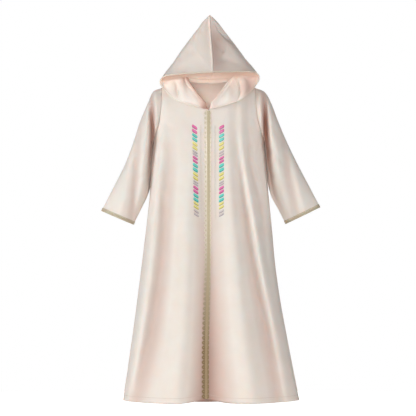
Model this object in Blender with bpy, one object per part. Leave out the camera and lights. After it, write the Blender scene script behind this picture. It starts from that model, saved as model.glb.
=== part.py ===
# A child's hooded abaya, filled out as if worn, in Blender units of metres.
# +Z is up, -Y is the front, +X is the wearer's left. The origin is the middle of the neck's base,
# level with the nape seam, where a wearer or a form holds the garment up.
import math

import bpy
import numpy as np

# Cloth and seams
CLOTH = 0.0012
SEAM_GAP = 0.0003
BRAID_THICK = 0.0014
BRAID_LIFT = 0.0004

# Neck, shoulders and armholes
NECK_HALF = 0.062
NECK_POINT_Z = 0.008
SHOULDER_HALF = 0.140
SHOULDER_TIP_Z = -0.012
NAPE_Z = 0.004
V_POINT_Z = -0.079
UNDERARM_Z = -0.165
SHOULDER_ROUND_FRONT = 0.085
SHOULDER_ROUND_BACK = 0.070
SECTION_POWER = 2.4

# Hem
HEM_Z = -0.953
HEM_LIFT_CENTRE = 0.010
HEM_LIFT_SIDE = 0.005
HEM_DROP_BACK = 0.007
HEM_HALF = 0.26
CLOSING_LIFT_REACH = 0.032

# Grid counts
SKIRT_ROWS = 18
YOKE_ROWS = 11
V_ROW = 5
FRONT_COLUMNS = 17
BACK_HALF_COLUMNS = 11
NECK_COLUMN = 5
SLEEVE_ROWS = 13

# Sleeves
SLEEVE_LENGTH = 0.33
SLEEVE_TO_BODY = 0.0016
UNDERARM_TURN = 0.35
UNDERARM_STRETCH = 2.0

# Hood
HOOD_SHIFT = 0.0035
RIDGE_LEAN = 0.009
HOOD_SKEW = 0.006
STAND_OFF_CHEST = 0.0025
HOOD_OFF_CHEST = 0.0050
HOOD_OFF_SHOULDER = 0.008
HOOD_HANDLE = 0.45

# Braids
FRONT_BRAID_TOP_DROP = 0.002
FRONT_BRAID_HEM_GAP = 0.003
SCALLOP_PITCH = 0.0145
SCALLOP_POINTS = 4
CUFF_BRAID = 0.011
HOOD_BRAID_ON = 0.0045
HOOD_BRAID_PAST = 0.0015

# Front braids on the wearer's right and left: width of the straight part and depth of the scallops.
FRONT_BRAIDS = {-1: (0.0050, 0.0085), 1: (0.0045, 0.0045)}


def table(columns, rows):
    """Named columns of a short table, each as an array."""
    values = np.array(rows, float)
    return {name: values[:, i] for i, name in enumerate(columns.split())}


# Level sections of the body: half width on each side, and depth in front of and behind the side seams.
BODY = table(
    "z right left front back",
    (
        (0.030, 0.166, 0.168, 0.058, 0.076),
        (-0.075, 0.164, 0.167, 0.072, 0.082),
        (-0.165, 0.163, 0.166, 0.088, 0.086),
        (-0.230, 0.169, 0.172, 0.093, 0.086),
        (-0.330, 0.175, 0.179, 0.098, 0.088),
        (-0.440, 0.187, 0.190, 0.104, 0.094),
        (-0.530, 0.198, 0.198, 0.108, 0.101),
        (-0.650, 0.213, 0.215, 0.115, 0.110),
        (-0.770, 0.229, 0.237, 0.123, 0.120),
        (-0.860, 0.242, 0.254, 0.129, 0.127),
        (-0.957, 0.256, 0.273, 0.135, 0.134),
    ),
)

# Heights at which the folds below state their place, width and rise.
FOLD_LEVELS = (-0.12, -0.23, -0.35, -0.53, -0.77, -0.957)

# Soft folds of the fronts, each as its sideways place at the fold levels, its width at the top
# and the hem, and its rise forwards at the fold levels in millimetres.
FRONT_FOLDS = table(
    "x0 x1 x2 x3 x4 x5 wide_top wide_hem r0 r1 r2 r3 r4 r5",
    (
        (-0.138, -0.149, -0.160, -0.178, -0.202, -0.230, 0.010, 0.016, 0, 7, 11, 14, 14, 8),
        (-0.116, -0.116, -0.121, -0.130, -0.160, -0.206, 0.015, 0.022, 0, -11, -14, -15, -16, -14),
        (-0.073, -0.063, -0.066, -0.067, -0.071, -0.094, 0.022, 0.034, 0, 4, 8, 11, 13, 12),
        (-0.005, 0.002, 0.008, 0.020, 0.038, 0.056, 0.024, 0.040, 0, -4, -9, -16, -24, -30),
        (0.060, 0.063, 0.066, 0.082, 0.110, 0.138, 0.016, 0.026, 0, 5, 8, 11, 13, 13),
        (0.078, 0.088, 0.108, 0.138, 0.190, 0.226, 0.011, 0.019, 0, -7, -13, -15, -17, -14),
        (0.097, 0.108, 0.134, 0.168, 0.216, 0.246, 0.010, 0.016, 0, 5, 10, 13, 13, 8),
    ),
)

# Soft folds of the back, stated in the same way, with the rise backwards.
BACK_FOLDS = table(
    "x0 x1 x2 x3 x4 x5 wide_top wide_hem r0 r1 r2 r3 r4 r5",
    (
        (-0.138, -0.143, -0.152, -0.168, -0.196, -0.222, 0.013, 0.019, 0, 3, 5, 7, 8, 9),
        (-0.100, -0.106, -0.112, -0.122, -0.144, -0.164, 0.014, 0.021, 0, -5, -9, -12, -15, -17),
        (-0.052, -0.058, -0.064, -0.070, -0.082, -0.094, 0.018, 0.030, 0, 3, 6, 9, 12, 13),
        (0.000, -0.004, -0.006, -0.010, -0.014, -0.012, 0.017, 0.028, 0, -3, -7, -11, -14, -16),
        (0.044, 0.050, 0.058, 0.066, 0.078, 0.088, 0.018, 0.030, 0, 3, 6, 9, 12, 13),
        (0.094, 0.102, 0.110, 0.124, 0.150, 0.168, 0.014, 0.021, 0, -5, -8, -11, -15, -16),
        (0.132, 0.142, 0.152, 0.170, 0.200, 0.222, 0.012, 0.019, 0, 2, 4, 6, 8, 9),
    ),
)

# Hanging sleeves: the outer and inner edge seen from the front, and the half depth,
# from the armhole to the cuff.
SLEEVE_LEFT = table(
    "share outer_x outer_z inner_x inner_z depth",
    (
        (0.00, 0.140, -0.012, 0.166, -0.165, 0.054),
        (0.12, 0.168, -0.024, 0.171, -0.186, 0.055),
        (0.25, 0.187, -0.055, 0.174, -0.215, 0.053),
        (0.40, 0.209, -0.112, 0.178, -0.255, 0.049),
        (0.55, 0.236, -0.176, 0.182, -0.295, 0.045),
        (0.70, 0.267, -0.240, 0.188, -0.335, 0.040),
        (0.85, 0.301, -0.305, 0.211, -0.379, 0.034),
        (1.00, 0.335, -0.370, 0.232, -0.420, 0.028),
    ),
)
SLEEVE_RIGHT = table(
    "share outer_x outer_z inner_x inner_z depth",
    (
        (0.00, 0.140, -0.012, 0.163, -0.165, 0.054),
        (0.12, 0.166, -0.023, 0.168, -0.186, 0.055),
        (0.25, 0.181, -0.055, 0.171, -0.215, 0.053),
        (0.40, 0.205, -0.112, 0.175, -0.255, 0.049),
        (0.55, 0.226, -0.176, 0.178, -0.295, 0.045),
        (0.70, 0.250, -0.240, 0.183, -0.334, 0.040),
        (0.85, 0.284, -0.308, 0.204, -0.379, 0.034),
        (1.00, 0.321, -0.381, 0.2255, -0.422, 0.028),
    ),
)

# Folds of a sleeve, seen from the front: the distance from the centre line at the heights below,
# the width, and how far the cloth is pushed out at those heights in millimetres.
SLEEVE_FOLD_LEVELS = (-0.03, -0.10, -0.20, -0.30, -0.40)
SLEEVE_FOLDS = table(
    "x0 x1 x2 x3 x4 wide r0 r1 r2 r3 r4",
    (
        (0.156, 0.157, 0.165, 0.180, 0.200, 0.006, 2, 5, 0, 0, 0),
        (0.174, 0.174, 0.179, 0.190, 0.230, 0.008, -4, -17, -13, -4, 0),
        (0.190, 0.196, 0.206, 0.226, 0.262, 0.014, 1, 3, 5, 3, 1),
        (0.200, 0.214, 0.232, 0.250, 0.284, 0.012, 0, 0, -4, -6, -4),
    ),
)

# The hood's stand: how far its first rows lie outwards from the neckline and above it,
# and where they start beside the V point.
HOOD_STAND = table(
    "out up edge_x edge_y edge_z",
    (
        (0.002, 0.0090, 0.004, -0.0040, 0.0055),
        (0.009, 0.0130, 0.016, -0.0070, 0.0085),
    ),
)

# Half of the hood, in rows from the neckline to the point: the front end, which is on the free edge
# and then on the ridge seam, the point furthest out, and the back end on the centre seam.
HOOD = table(
    "front_x front_y front_z side_x side_y side_z back_y back_z",
    (
        (0.032, -0.0810, -0.0690, 0.0780, 0.002, 0.020, 0.061, 0.028),
        (0.064, -0.0750, -0.0620, 0.1000, 0.002, 0.020, 0.067, 0.044),
        (0.094, -0.0620, -0.0500, 0.1220, 0.004, 0.018, 0.075, 0.062),
        (0.122, -0.0420, -0.0290, 0.1370, 0.008, 0.016, 0.084, 0.080),
        (0.1430, -0.0260, -0.0030, 0.1450, 0.012, 0.016, 0.091, 0.098),
        (0.1490, -0.0220, 0.0130, 0.1440, 0.016, 0.025, 0.096, 0.114),
        (0.1370, -0.0260, 0.0270, 0.1310, 0.020, 0.042, 0.097, 0.130),
        (0.108, -0.0400, 0.0305, 0.1140, 0.022, 0.062, 0.096, 0.145),
        (0.072, -0.0580, 0.0315, 0.0985, 0.023, 0.084, 0.092, 0.159),
        (0.036, -0.0720, 0.0320, 0.0820, 0.025, 0.107, 0.085, 0.172),
        (0.000, -0.0800, 0.0320, 0.0640, 0.027, 0.131, 0.076, 0.183),
        (0.000, -0.0440, 0.0920, 0.0465, 0.028, 0.155, 0.066, 0.192),
        (0.000, -0.0100, 0.1460, 0.0285, 0.029, 0.180, 0.054, 0.200),
        (0.000, 0.0140, 0.1840, 0.0142, 0.030, 0.196, 0.044, 0.2055),
        (0.000, 0.0255, 0.2030, 0.0025, 0.030, 0.2070, 0.034, 0.2085),
    ),
)


def hermite(known, values, at):
    """A smooth curve through the table's values, with slopes from their neighbours."""
    known, values, at = (np.asarray(v, float) for v in (known, values, at))
    if known[0] > known[-1]:
        known, values = known[::-1], values[::-1]
    at = np.clip(at, known[0], known[-1])
    slope = np.gradient(values, known)
    i = np.clip(np.searchsorted(known, at, side="right") - 1, 0, len(known) - 2)
    step = known[i + 1] - known[i]
    t = (at - known[i]) / step
    return (
        (2 * t**3 - 3 * t**2 + 1) * values[i]
        + (t**3 - 2 * t**2 + t) * step * slope[i]
        + (3 * t**2 - 2 * t**3) * values[i + 1]
        + (t**3 - t**2) * step * slope[i + 1]
    )


def unit(vectors):
    return vectors / np.maximum(np.linalg.norm(vectors, axis=-1, keepdims=True), 1e-12)


def half_width(z, side):
    return hermite(BODY["z"], BODY["left" if side > 0 else "right"], z)


def shoulder_line(x):
    """Height of the straight shoulder seam at a distance from the centre."""
    slope = (SHOULDER_TIP_Z - NECK_POINT_Z) / (SHOULDER_HALF - NECK_HALF)
    return NECK_POINT_Z + slope * (np.abs(x) - NECK_HALF)


def fold_rise(folds, x, z):
    """Sum of bell-shaped ridges and troughs at these places, in metres."""
    total = np.zeros(np.broadcast(x, z).shape)
    down = np.clip((z - FOLD_LEVELS[0]) / (FOLD_LEVELS[-1] - FOLD_LEVELS[0]), 0, 1)
    for k in range(len(folds["x0"])):
        place = hermite(FOLD_LEVELS, [folds[f"x{i}"][k] for i in range(6)], z)
        rise = hermite(FOLD_LEVELS, [folds[f"r{i}"][k] for i in range(6)], z) / 1000
        wide = folds["wide_top"][k] + (folds["wide_hem"][k] - folds["wide_top"][k]) * down
        total += rise * np.exp(-(((x - place) / wide) ** 2) / 2)
    return total


def body_depth(x, z, facing):
    """How far the cloth lies from the plane of the side seams; facing is -1 in front, 1 behind."""
    x, z = np.asarray(x, float), np.asarray(z, float)
    wide = np.where(x > 0, half_width(z, 1), half_width(z, -1))
    share = np.clip(np.abs(x) / wide, 0, 1)
    round_down = SHOULDER_ROUND_FRONT if facing < 0 else SHOULDER_ROUND_BACK
    drop = np.clip((shoulder_line(x) - z) / round_down, 0, 1)
    over_shoulder = np.sqrt(1 - (1 - drop) ** 2)
    depth = hermite(BODY["z"], BODY["front" if facing < 0 else "back"], z)
    folds = fold_rise(FRONT_FOLDS if facing < 0 else BACK_FOLDS, x, z) * (1 - share**8)
    return (depth * np.sqrt(1 - share**SECTION_POWER) + folds) * over_shoulder


def body_points(x, z, facing):
    return np.stack([x, facing * body_depth(x, z, facing), z], axis=-1)


def hem_height(x, facing):
    """The hem lifts at the side seams and at the closing, and hangs a little lower behind."""
    side = np.clip(np.abs(x) / HEM_HALF, 0, 1) ** 4
    if facing > 0:
        return HEM_Z - HEM_DROP_BACK + (HEM_LIFT_SIDE + HEM_DROP_BACK) * side
    closing = np.exp(-((x / CLOSING_LIFT_REACH) ** 2) / 2)
    return HEM_Z + HEM_LIFT_SIDE * side + HEM_LIFT_CENTRE * closing


def armhole_angle(row):
    """0 at the shoulder tip and pi at the underarm, for a row counted up from the underarm."""
    return math.pi * (1 - row / YOKE_ROWS)


def armhole_edge(row, side):
    """(distance from the centre, height) of the armhole's edge on one row."""
    angle = armhole_angle(row)
    low = (1 - math.cos(angle)) / 2
    z = SHOULDER_TIP_Z + (UNDERARM_Z - SHOULDER_TIP_Z) * low
    x = SHOULDER_HALF + (half_width(UNDERARM_Z, side) - SHOULDER_HALF) * low**3
    return x, z


def neckline_front(t):
    """(x, z) along the front neckline, from the V point to the neck point."""
    return NECK_HALF * t, V_POINT_Z + (NECK_POINT_Z - V_POINT_Z) * t**1.2


def neckline_back(x):
    return NAPE_Z + (NECK_POINT_Z - NAPE_Z) * (np.abs(x) / NECK_HALF) ** 3


def skirt_heights():
    """Row heights from the hem to the underarm, closer together towards the top."""
    t = np.linspace(0, 1, SKIRT_ROWS + 1)
    return HEM_Z + (UNDERARM_Z - HEM_Z) * (0.85 * t + 0.15 * t**0.8)


def front_grid(side):
    """Rows from the hem to the shoulder seam; columns from the centre front to the side."""
    across = np.sin(np.linspace(0, math.pi / 2, FRONT_COLUMNS + 1))
    rows = []
    for i, z in enumerate(skirt_heights()):
        x = side * half_width(z, side) * across
        share = 1 - i / SKIRT_ROWS
        level = z + (hem_height(x, -1) - HEM_Z) * share**6
        rows.append((x, level))
    for j in range(1, YOKE_ROWS + 1):
        outer_x, outer_z = armhole_edge(j, side)
        if j <= V_ROW:
            inner_x, inner_z = 0.0, UNDERARM_Z + (V_POINT_Z - UNDERARM_Z) * j / V_ROW
        else:
            inner_x, inner_z = neckline_front((j - V_ROW) / (YOKE_ROWS - V_ROW))
        x = side * (inner_x + (outer_x - inner_x) * across)
        rows.append((x, inner_z + (outer_z - inner_z) * across))
    return np.array([body_points(x, z, -1) for x, z in rows])


def back_grid():
    """Rows from the hem to the shoulder and nape; columns from the wearer's right to the left."""
    count = BACK_HALF_COLUMNS
    half = np.sin(np.linspace(0, math.pi / 2, count + 1))
    column = np.arange(count + 1)
    on_neck = column <= NECK_COLUMN
    along = (column - NECK_COLUMN) / (count - NECK_COLUMN)
    top_x = np.where(
        on_neck,
        NECK_HALF * column / NECK_COLUMN,
        NECK_HALF + (SHOULDER_HALF - NECK_HALF) * along,
    )
    top_z = np.where(on_neck, neckline_back(top_x), shoulder_line(top_x))
    rows = []
    for i, z in enumerate(skirt_heights()):
        x = np.concatenate([-half_width(z, -1) * half[::-1], half_width(z, 1) * half[1:]])
        share = 1 - i / SKIRT_ROWS
        rows.append((x, z + (hem_height(x, 1) - HEM_Z) * share**6))
    for j in range(1, YOKE_ROWS + 1):
        sides = []
        for side in (-1, 1):
            outer_x, outer_z = armhole_edge(j, side)
            up = (outer_z - UNDERARM_Z) / (SHOULDER_TIP_Z - UNDERARM_Z)
            under = half_width(UNDERARM_Z, side)
            x = under * half * (1 - up) + top_x * up
            x = x + (outer_x - (under * (1 - up) + SHOULDER_HALF * up)) * half**3
            sides.append((side * x, UNDERARM_Z * (1 - up) + top_z * up))
        (left_x, left_z), (right_x, right_z) = sides
        x = np.concatenate([left_x[::-1], right_x[1:]])
        z = np.concatenate([left_z[::-1], right_z[1:]])
        rows.append((x, z))
    return np.array([body_points(x, z, 1) for x, z in rows])


def shared(face, around):
    """Sum at each point of a grid of what its faces carry."""
    if around:
        sides = face + np.roll(face, 1, axis=1)
    else:
        sides = np.pad(face, ((0, 0), (0, 1), (0, 0))) + np.pad(face, ((0, 0), (1, 0), (0, 0)))
    return np.pad(sides, ((0, 1), (0, 0), (0, 0))) + np.pad(sides, ((1, 0), (0, 0), (0, 0)))


def grid_normals(grid, around=False):
    """Normals at a grid's points, a little longer at bends, so that a wall keeps its thickness."""
    following = np.roll(grid, -1, axis=1) if around else grid[:, 1:]
    here = grid if around else grid[:, :-1]
    face = unit(np.cross(following[1:] - here[:-1], here[1:] - following[:-1]))
    bend = shared(face, around) / shared(np.ones_like(face), around)
    normals = unit(bend)
    return normals / np.clip(np.sum(normals * bend, axis=-1, keepdims=True), 0.6, 1)


def in_plane(normals, axis):
    """Normals turned into the seam's plane and lengthened, so that the wall keeps its thickness."""
    turned = normals.copy()
    turned[..., axis] = 0
    return turned / np.clip(np.sum(turned**2, axis=-1, keepdims=True), 0.25, 1)


def towards(points, neighbours, distance):
    return points + distance * unit(neighbours - points)


def wall_mesh(outer, inner, around=False):
    """Points and faces of a closed wall between two grids of the same size."""
    rows, columns = outer.shape[:2]
    points = np.concatenate([outer.reshape(-1, 3), inner.reshape(-1, 3)])
    offset = rows * columns
    faces = []
    last = columns if around else columns - 1
    for r in range(rows - 1):
        for c in range(last):
            a, b = r * columns + c, r * columns + (c + 1) % columns
            d, e = a + columns, b + columns
            faces.append((a, b, e, d))
            faces.append((offset + a, offset + d, offset + e, offset + b))
    for c in range(last):
        b = (c + 1) % columns
        faces.append((c, offset + c, offset + b, b))
        top = (rows - 1) * columns
        faces.append((top + c, top + b, offset + top + b, offset + top + c))
    if not around:
        for r in range(rows - 1):
            a, d = r * columns, (r + 1) * columns
            faces.append((a, d, offset + d, offset + a))
            b, e = a + columns - 1, d + columns - 1
            faces.append((b, offset + b, offset + e, e))
    return points, faces


def signed_volume(points, faces):
    total = 0.0
    for face in faces:
        for k in range(1, len(face) - 1):
            a, b, c = (points[face[i]] for i in (0, k, k + 1))
            total += float(np.dot(a, np.cross(b, c)))
    return total


def add_solid(name, points, faces, material):
    if signed_volume(points, faces) < 0:
        faces = [face[::-1] for face in faces]
    mesh = bpy.data.meshes.new(name)
    mesh.from_pydata([tuple(p) for p in points], [], faces)
    mesh.materials.append(material)
    mesh.shade_smooth()
    mesh.set_sharp_from_angle(angle=math.radians(50))
    obj = bpy.data.objects.new(name, mesh)
    bpy.context.scene.collection.objects.link(obj)
    return obj


def make_material(name, colour, roughness, metallic=0.0):
    material = bpy.data.materials.new(name)
    material.use_nodes = True
    shader = material.node_tree.nodes["Principled BSDF"]
    shader.inputs["Base Color"].default_value = (*colour, 1)
    shader.inputs["Roughness"].default_value = roughness
    shader.inputs["Metallic"].default_value = metallic
    return material


def armhole_walls(side, angle):
    """Directions across the cloth along the armhole, shared by the body and the sleeve."""
    low = ((1 - np.cos(angle)) / 2) ** 4
    across = np.stack([side * UNDERARM_TURN * low, -np.sin(angle), np.cos(angle)], axis=-1)
    return across * (1 + UNDERARM_STRETCH * low)[:, None]


def make_front(side, cloth):
    """One half of the front, with its points and normals for what is sewn on it."""
    grid = front_grid(side)
    normals = grid_normals(grid)
    normals *= -np.sign(normals[..., 1].mean())
    normals[: SKIRT_ROWS + 1, -1] = in_plane(normals[: SKIRT_ROWS + 1, -1], 1)
    normals[-1] = in_plane(normals[-1], 1)
    normals[: SKIRT_ROWS + V_ROW + 1, 0] = in_plane(normals[: SKIRT_ROWS + V_ROW + 1, 0], 0)
    angle = armhole_angle(np.arange(YOKE_ROWS + 1))
    normals[SKIRT_ROWS:, -1] = armhole_walls(side, angle)
    outer = grid.copy()
    half_gap = SEAM_GAP / 2
    outer[:SKIRT_ROWS, -1] = towards(grid[:SKIRT_ROWS, -1], grid[:SKIRT_ROWS, -2], half_gap)
    outer[-1, :-1] = towards(grid[-1, :-1], grid[-2, :-1], half_gap)
    outer[SKIRT_ROWS:, -1, 0] -= side * half_gap
    outer[[-1, SKIRT_ROWS], -1, 1] -= half_gap
    outer[:, 0, 0] += side * half_gap
    add_solid(
        "front_left" if side > 0 else "front_right",
        *wall_mesh(outer, outer - CLOTH * normals),
        cloth,
    )
    return outer, normals


def make_back(cloth):
    grid = back_grid()
    normals = grid_normals(grid)
    normals *= np.sign(normals[..., 1].mean())
    angle = armhole_angle(np.arange(YOKE_ROWS + 1))
    outer = grid.copy()
    half_gap = SEAM_GAP / 2
    for column, beside, side in ((0, 1, -1), (-1, -2, 1)):
        skirt = normals[: SKIRT_ROWS + 1, column]
        normals[: SKIRT_ROWS + 1, column] = in_plane(skirt, 1)
        normals[SKIRT_ROWS:, column] = armhole_walls(side, angle) * (1, -1, 1)
        edge = grid[:SKIRT_ROWS, column]
        outer[:SKIRT_ROWS, column] = towards(edge, grid[:SKIRT_ROWS, beside], half_gap)
        outer[SKIRT_ROWS:, column, 0] -= side * half_gap
        outer[[-1, SKIRT_ROWS], column, 1] += half_gap
    shoulder = np.abs(grid[-1, :, 0]) >= NECK_HALF - 1e-6
    shoulder[[0, -1]] = False
    normals[-1, shoulder] = in_plane(normals[-1, shoulder], 1)
    outer[-1, 1:-1] = towards(grid[-1, 1:-1], grid[-2, 1:-1], half_gap)
    add_solid("back", *wall_mesh(outer, outer - CLOTH * normals), cloth)
    return grid


def sleeve_grid(side, front, back):
    """Rings from the armhole to the cuff, each from the shoulder round the front to the back."""
    sizes = SLEEVE_LEFT if side > 0 else SLEEVE_RIGHT
    edge_front = front[SKIRT_ROWS:, -1][::-1]
    edge_back = back[SKIRT_ROWS:, -1 if side > 0 else 0]
    loop = np.concatenate([edge_front[:-1], edge_back[:-1]])
    count = len(loop)
    angle = np.arange(count) * 2 * math.pi / count
    rings = []
    shares = np.linspace(0, 1, SLEEVE_ROWS + 1) ** 1.15
    shares[-2] = 1 - CUFF_BRAID / SLEEVE_LENGTH
    for share in shares:
        size = {k: float(hermite(sizes["share"], sizes[k], share)) for k in sizes}
        clear = float(half_width(size["inner_z"], side)) + SLEEVE_TO_BODY
        size["inner_x"] = max(size["inner_x"], clear if share > 0 else 0)
        outer = np.array([side * size["outer_x"], 0, size["outer_z"]])
        inner = np.array([side * size["inner_x"], 0, size["inner_z"]])
        middle, reach = (outer + inner) / 2, (outer - inner) / 2
        ring = middle + np.outer(np.cos(angle), reach)
        ring[:, 1] -= size["depth"] * np.sin(angle)
        rings.append(ring)
    grid = np.array(rings)
    fit = loop - grid[0]
    for ring, share in zip(grid, shares):
        ring += fit * max(0.0, 1 - share / 0.2) ** 2
    return grid + sleeve_folds(grid, side, shares)


def sleeve_folds(grid, side, shares):
    """The cloth's soft folds, pushed straight in or out from the sleeve's middle plane."""
    x, y, z = side * grid[..., 0], grid[..., 1], grid[..., 2]
    push = np.zeros_like(x)
    for k in range(len(SLEEVE_FOLDS["wide"])):
        place = hermite(SLEEVE_FOLD_LEVELS, [SLEEVE_FOLDS[f"x{i}"][k] for i in range(5)], z)
        rise = hermite(SLEEVE_FOLD_LEVELS, [SLEEVE_FOLDS[f"r{i}"][k] for i in range(5)], z)
        push += rise / 1000 * np.exp(-(((x - place) / SLEEVE_FOLDS["wide"][k]) ** 2) / 2)
    push = np.maximum(push, -0.55 * np.abs(y))
    start = np.clip(shares / 0.12, 0, 1)[:, None]
    side_fade = np.clip(np.abs(y) / 0.02, 0, 1)
    shift = np.zeros_like(grid)
    shift[..., 1] = np.sign(y) * push * start * side_fade
    return shift


def make_sleeve(side, front, back, cloth, braid):
    grid = sleeve_grid(side, front, back)
    normals = grid_normals(grid, around=True)
    centre = grid.mean(axis=1, keepdims=True)
    if np.sum(normals * (grid - centre)) < 0:
        normals = -normals
    count = grid.shape[1]
    angle = np.arange(count) * 2 * math.pi / count
    normals[0] = armhole_walls(side, angle)
    outer = grid.copy()
    outer[0, :, 0] += side * SEAM_GAP / 2
    name = "left" if side > 0 else "right"
    add_solid(f"sleeve_{name}", *wall_mesh(outer, outer - CLOTH * normals, True), cloth)
    cuff = outer[-2:]
    cuff_normals = normals[-2:]
    add_solid(
        f"cuff_braid_{name}",
        *wall_mesh(
            cuff + (BRAID_LIFT + BRAID_THICK) * cuff_normals,
            cuff + BRAID_LIFT * cuff_normals,
            True,
        ),
        braid,
    )


def bezier(a, b, c, d, t):
    t = t[:, None]
    return (1 - t) ** 3 * a + 3 * (1 - t) ** 2 * t * b + 3 * (1 - t) * t**2 * c + t**3 * d


def hood_row(k, front_count, back_count):
    """One row of half the hood: from its front end, round its widest point, to the centre seam."""
    front = np.array([HOOD[f"front_{a}"][k] for a in "xyz"])
    side = np.array([HOOD[f"side_{a}"][k] for a in "xyz"])
    back = np.array([0.0, HOOD["back_y"][k], HOOD["back_z"][k]])
    forward = HOOD_HANDLE * (side[1] - front[1])
    edge = HOOD_BRAID_ON / (HOOD_HANDLE * 3 * np.linalg.norm(side - front))
    to_side = bezier(
        front,
        front + HOOD_HANDLE * (side - front) + (0, -0.12 * forward, 0),
        side - (0, forward, 0),
        side,
        np.concatenate([[0], np.linspace(edge, 1, front_count)]),
    )
    rearward = 0.5 * (back[1] - side[1])
    to_back = bezier(
        side,
        side + (0, rearward, 0.1 * (back[2] - side[2])),
        back + (0.55 * side[0], 0, -0.1 * (back[2] - side[2])),
        back,
        np.linspace(0, 1, back_count + 1),
    )
    return np.concatenate([to_side[:-1], to_back])


def stand_rows(neck):
    """The hood rises from the neckline before it turns outwards over the shoulders."""
    outward = unit(neck * (1, 1, 0))
    rows = []
    for k in range(len(HOOD_STAND["out"])):
        row = neck + HOOD_STAND["out"][k] * outward + (0, 0, HOOD_STAND["up"][k])
        row[0] = neck[0] + [HOOD_STAND[f"edge_{a}"][k] for a in "xyz"]
        rows.append(row)
    return rows


def hood_lean(x, z):
    """The whole hood stands a little towards the left, its ridge and back seam the most."""
    seam = RIDGE_LEAN * np.exp(-(((z - 0.055) / 0.09) ** 2)) * np.exp(-((x / 0.06) ** 2))
    out = np.clip((np.abs(x) - 0.08) / 0.04, 0, 1)
    low = HOOD_SHIFT * out * np.clip((z + 0.03) / 0.04, 0, 1)
    up = np.clip((z - 0.008) / 0.02, 0, 1)
    up = up**2 * (3 - 2 * up)
    return (1 - up) * low + up * (HOOD_SHIFT + seam)


def hood_grid(side, front, back):
    """Rows from the neckline, which follows the fronts' and back's own points, to the hood's point."""
    neck_front = front[SKIRT_ROWS + V_ROW :, 0]
    middle = back.shape[1] // 2
    neck_back = back[-1, middle : middle + NECK_COLUMN + 1][::-1]
    neck = np.concatenate([neck_front[:-1] * (side, 1, 1), neck_back])
    front_count, back_count = YOKE_ROWS - V_ROW, NECK_COLUMN
    turned = [hood_row(k, front_count, back_count) for k in range(len(HOOD["back_y"]))]
    grid = np.array([neck] + stand_rows(neck) + turned)
    grid[..., 0] *= side
    x, z = grid[..., 0].copy(), grid[..., 2].copy()
    grid[1:, :, 0] += hood_lean(x, z)[1:]
    first = 1 + len(HOOD_STAND["out"])
    rise = np.clip((z + 0.03) / 0.04, 0, 1) * np.clip((0.15 - z) / 0.10, 0, 1)
    grid[first:, :, 2] += (HOOD_SKEW * x / SHOULDER_HALF * rise)[first:]
    return clear_of_body(grid)


def clear_of_body(grid):
    """Lifts the part of the hood that lies on the chest and shoulders off the cloth under it."""
    lifted = grid.copy()
    for r in range(1, len(grid)):
        least = STAND_OFF_CHEST if r <= len(HOOD_STAND["out"]) else HOOD_OFF_CHEST
        for c in range(grid.shape[1]):
            x, y, z = lifted[r, c]
            if abs(x) < NECK_HALF and z > V_POINT_Z and y > 0:
                continue
            drop = float(shoulder_line(x)) - z
            if drop > 0 and y < 0:
                depth = float(body_depth(x, z, -1))
                lifted[r, c, 1] = min(y, -depth - least)
            elif abs(x) > NECK_HALF and drop > -HOOD_OFF_SHOULDER and y >= 0:
                lifted[r, c, 2] = float(shoulder_line(x)) + HOOD_OFF_SHOULDER
    return lifted


def make_hood(side, front, back, cloth, braid):
    grid = hood_grid(side, front, back)
    normals = grid_normals(grid)
    middle = len(grid) // 2
    if np.sum(normals[middle:, 2:-2, 0]) * side < 0:
        normals = -normals
    first = 1 + len(HOOD_STAND["out"])
    ridge = first + int(np.argmax(HOOD["front_x"] == 0))
    normals[1:, -1] = in_plane(normals[1:, -1], 0)
    normals[ridge:, 0] = in_plane(normals[ridge:, 0], 0)
    inside = unit(grid[0] * (-1, -1, 0))
    normals[0] = -inside
    normals[0, 0] = (0, -1, 0)
    normals[0, -1] = (0, 1, 0)
    outer = grid.copy()
    outer[0, :, 2] += 2 * SEAM_GAP
    half_gap = SEAM_GAP / 2
    walls = [outer, outer - CLOTH * normals]
    for wall in walls:
        centre = hood_lean(0, wall[..., 2]) * (np.arange(len(wall)) > 0)[:, None]
        wall[..., 0] = centre + side * np.maximum(side * (wall[..., 0] - centre), half_gap)
    name = "left" if side > 0 else "right"
    add_solid(f"hood_{name}", *wall_mesh(*walls), cloth)
    strip, lift = walls[0][first : ridge + 1, :2].copy(), normals[first : ridge + 1, :2]
    strip[:, 0] = towards(strip[:, 0], strip[:, 1], -HOOD_BRAID_PAST)
    walls = [strip + d * lift for d in (BRAID_LIFT + BRAID_THICK, BRAID_LIFT)]
    for wall in walls:
        centre = hood_lean(0, wall[-1, :, 2])
        wall[-1, :, 0] = centre + side * np.maximum(side * (wall[-1, :, 0] - centre), half_gap)
    add_solid(f"hood_braid_{name}", *wall_mesh(*walls), braid)


def on_grid(grid, row, column):
    """A point of a grid between its own points, straight along both directions."""
    r = int(min(max(math.floor(row), 0), len(grid) - 2))
    u, v = row - r, column
    near = grid[r, 0] * (1 - v) + grid[r, 1] * v
    far = grid[r + 1, 0] * (1 - v) + grid[r + 1, 1] * v
    return near * (1 - u) + far * u


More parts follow.
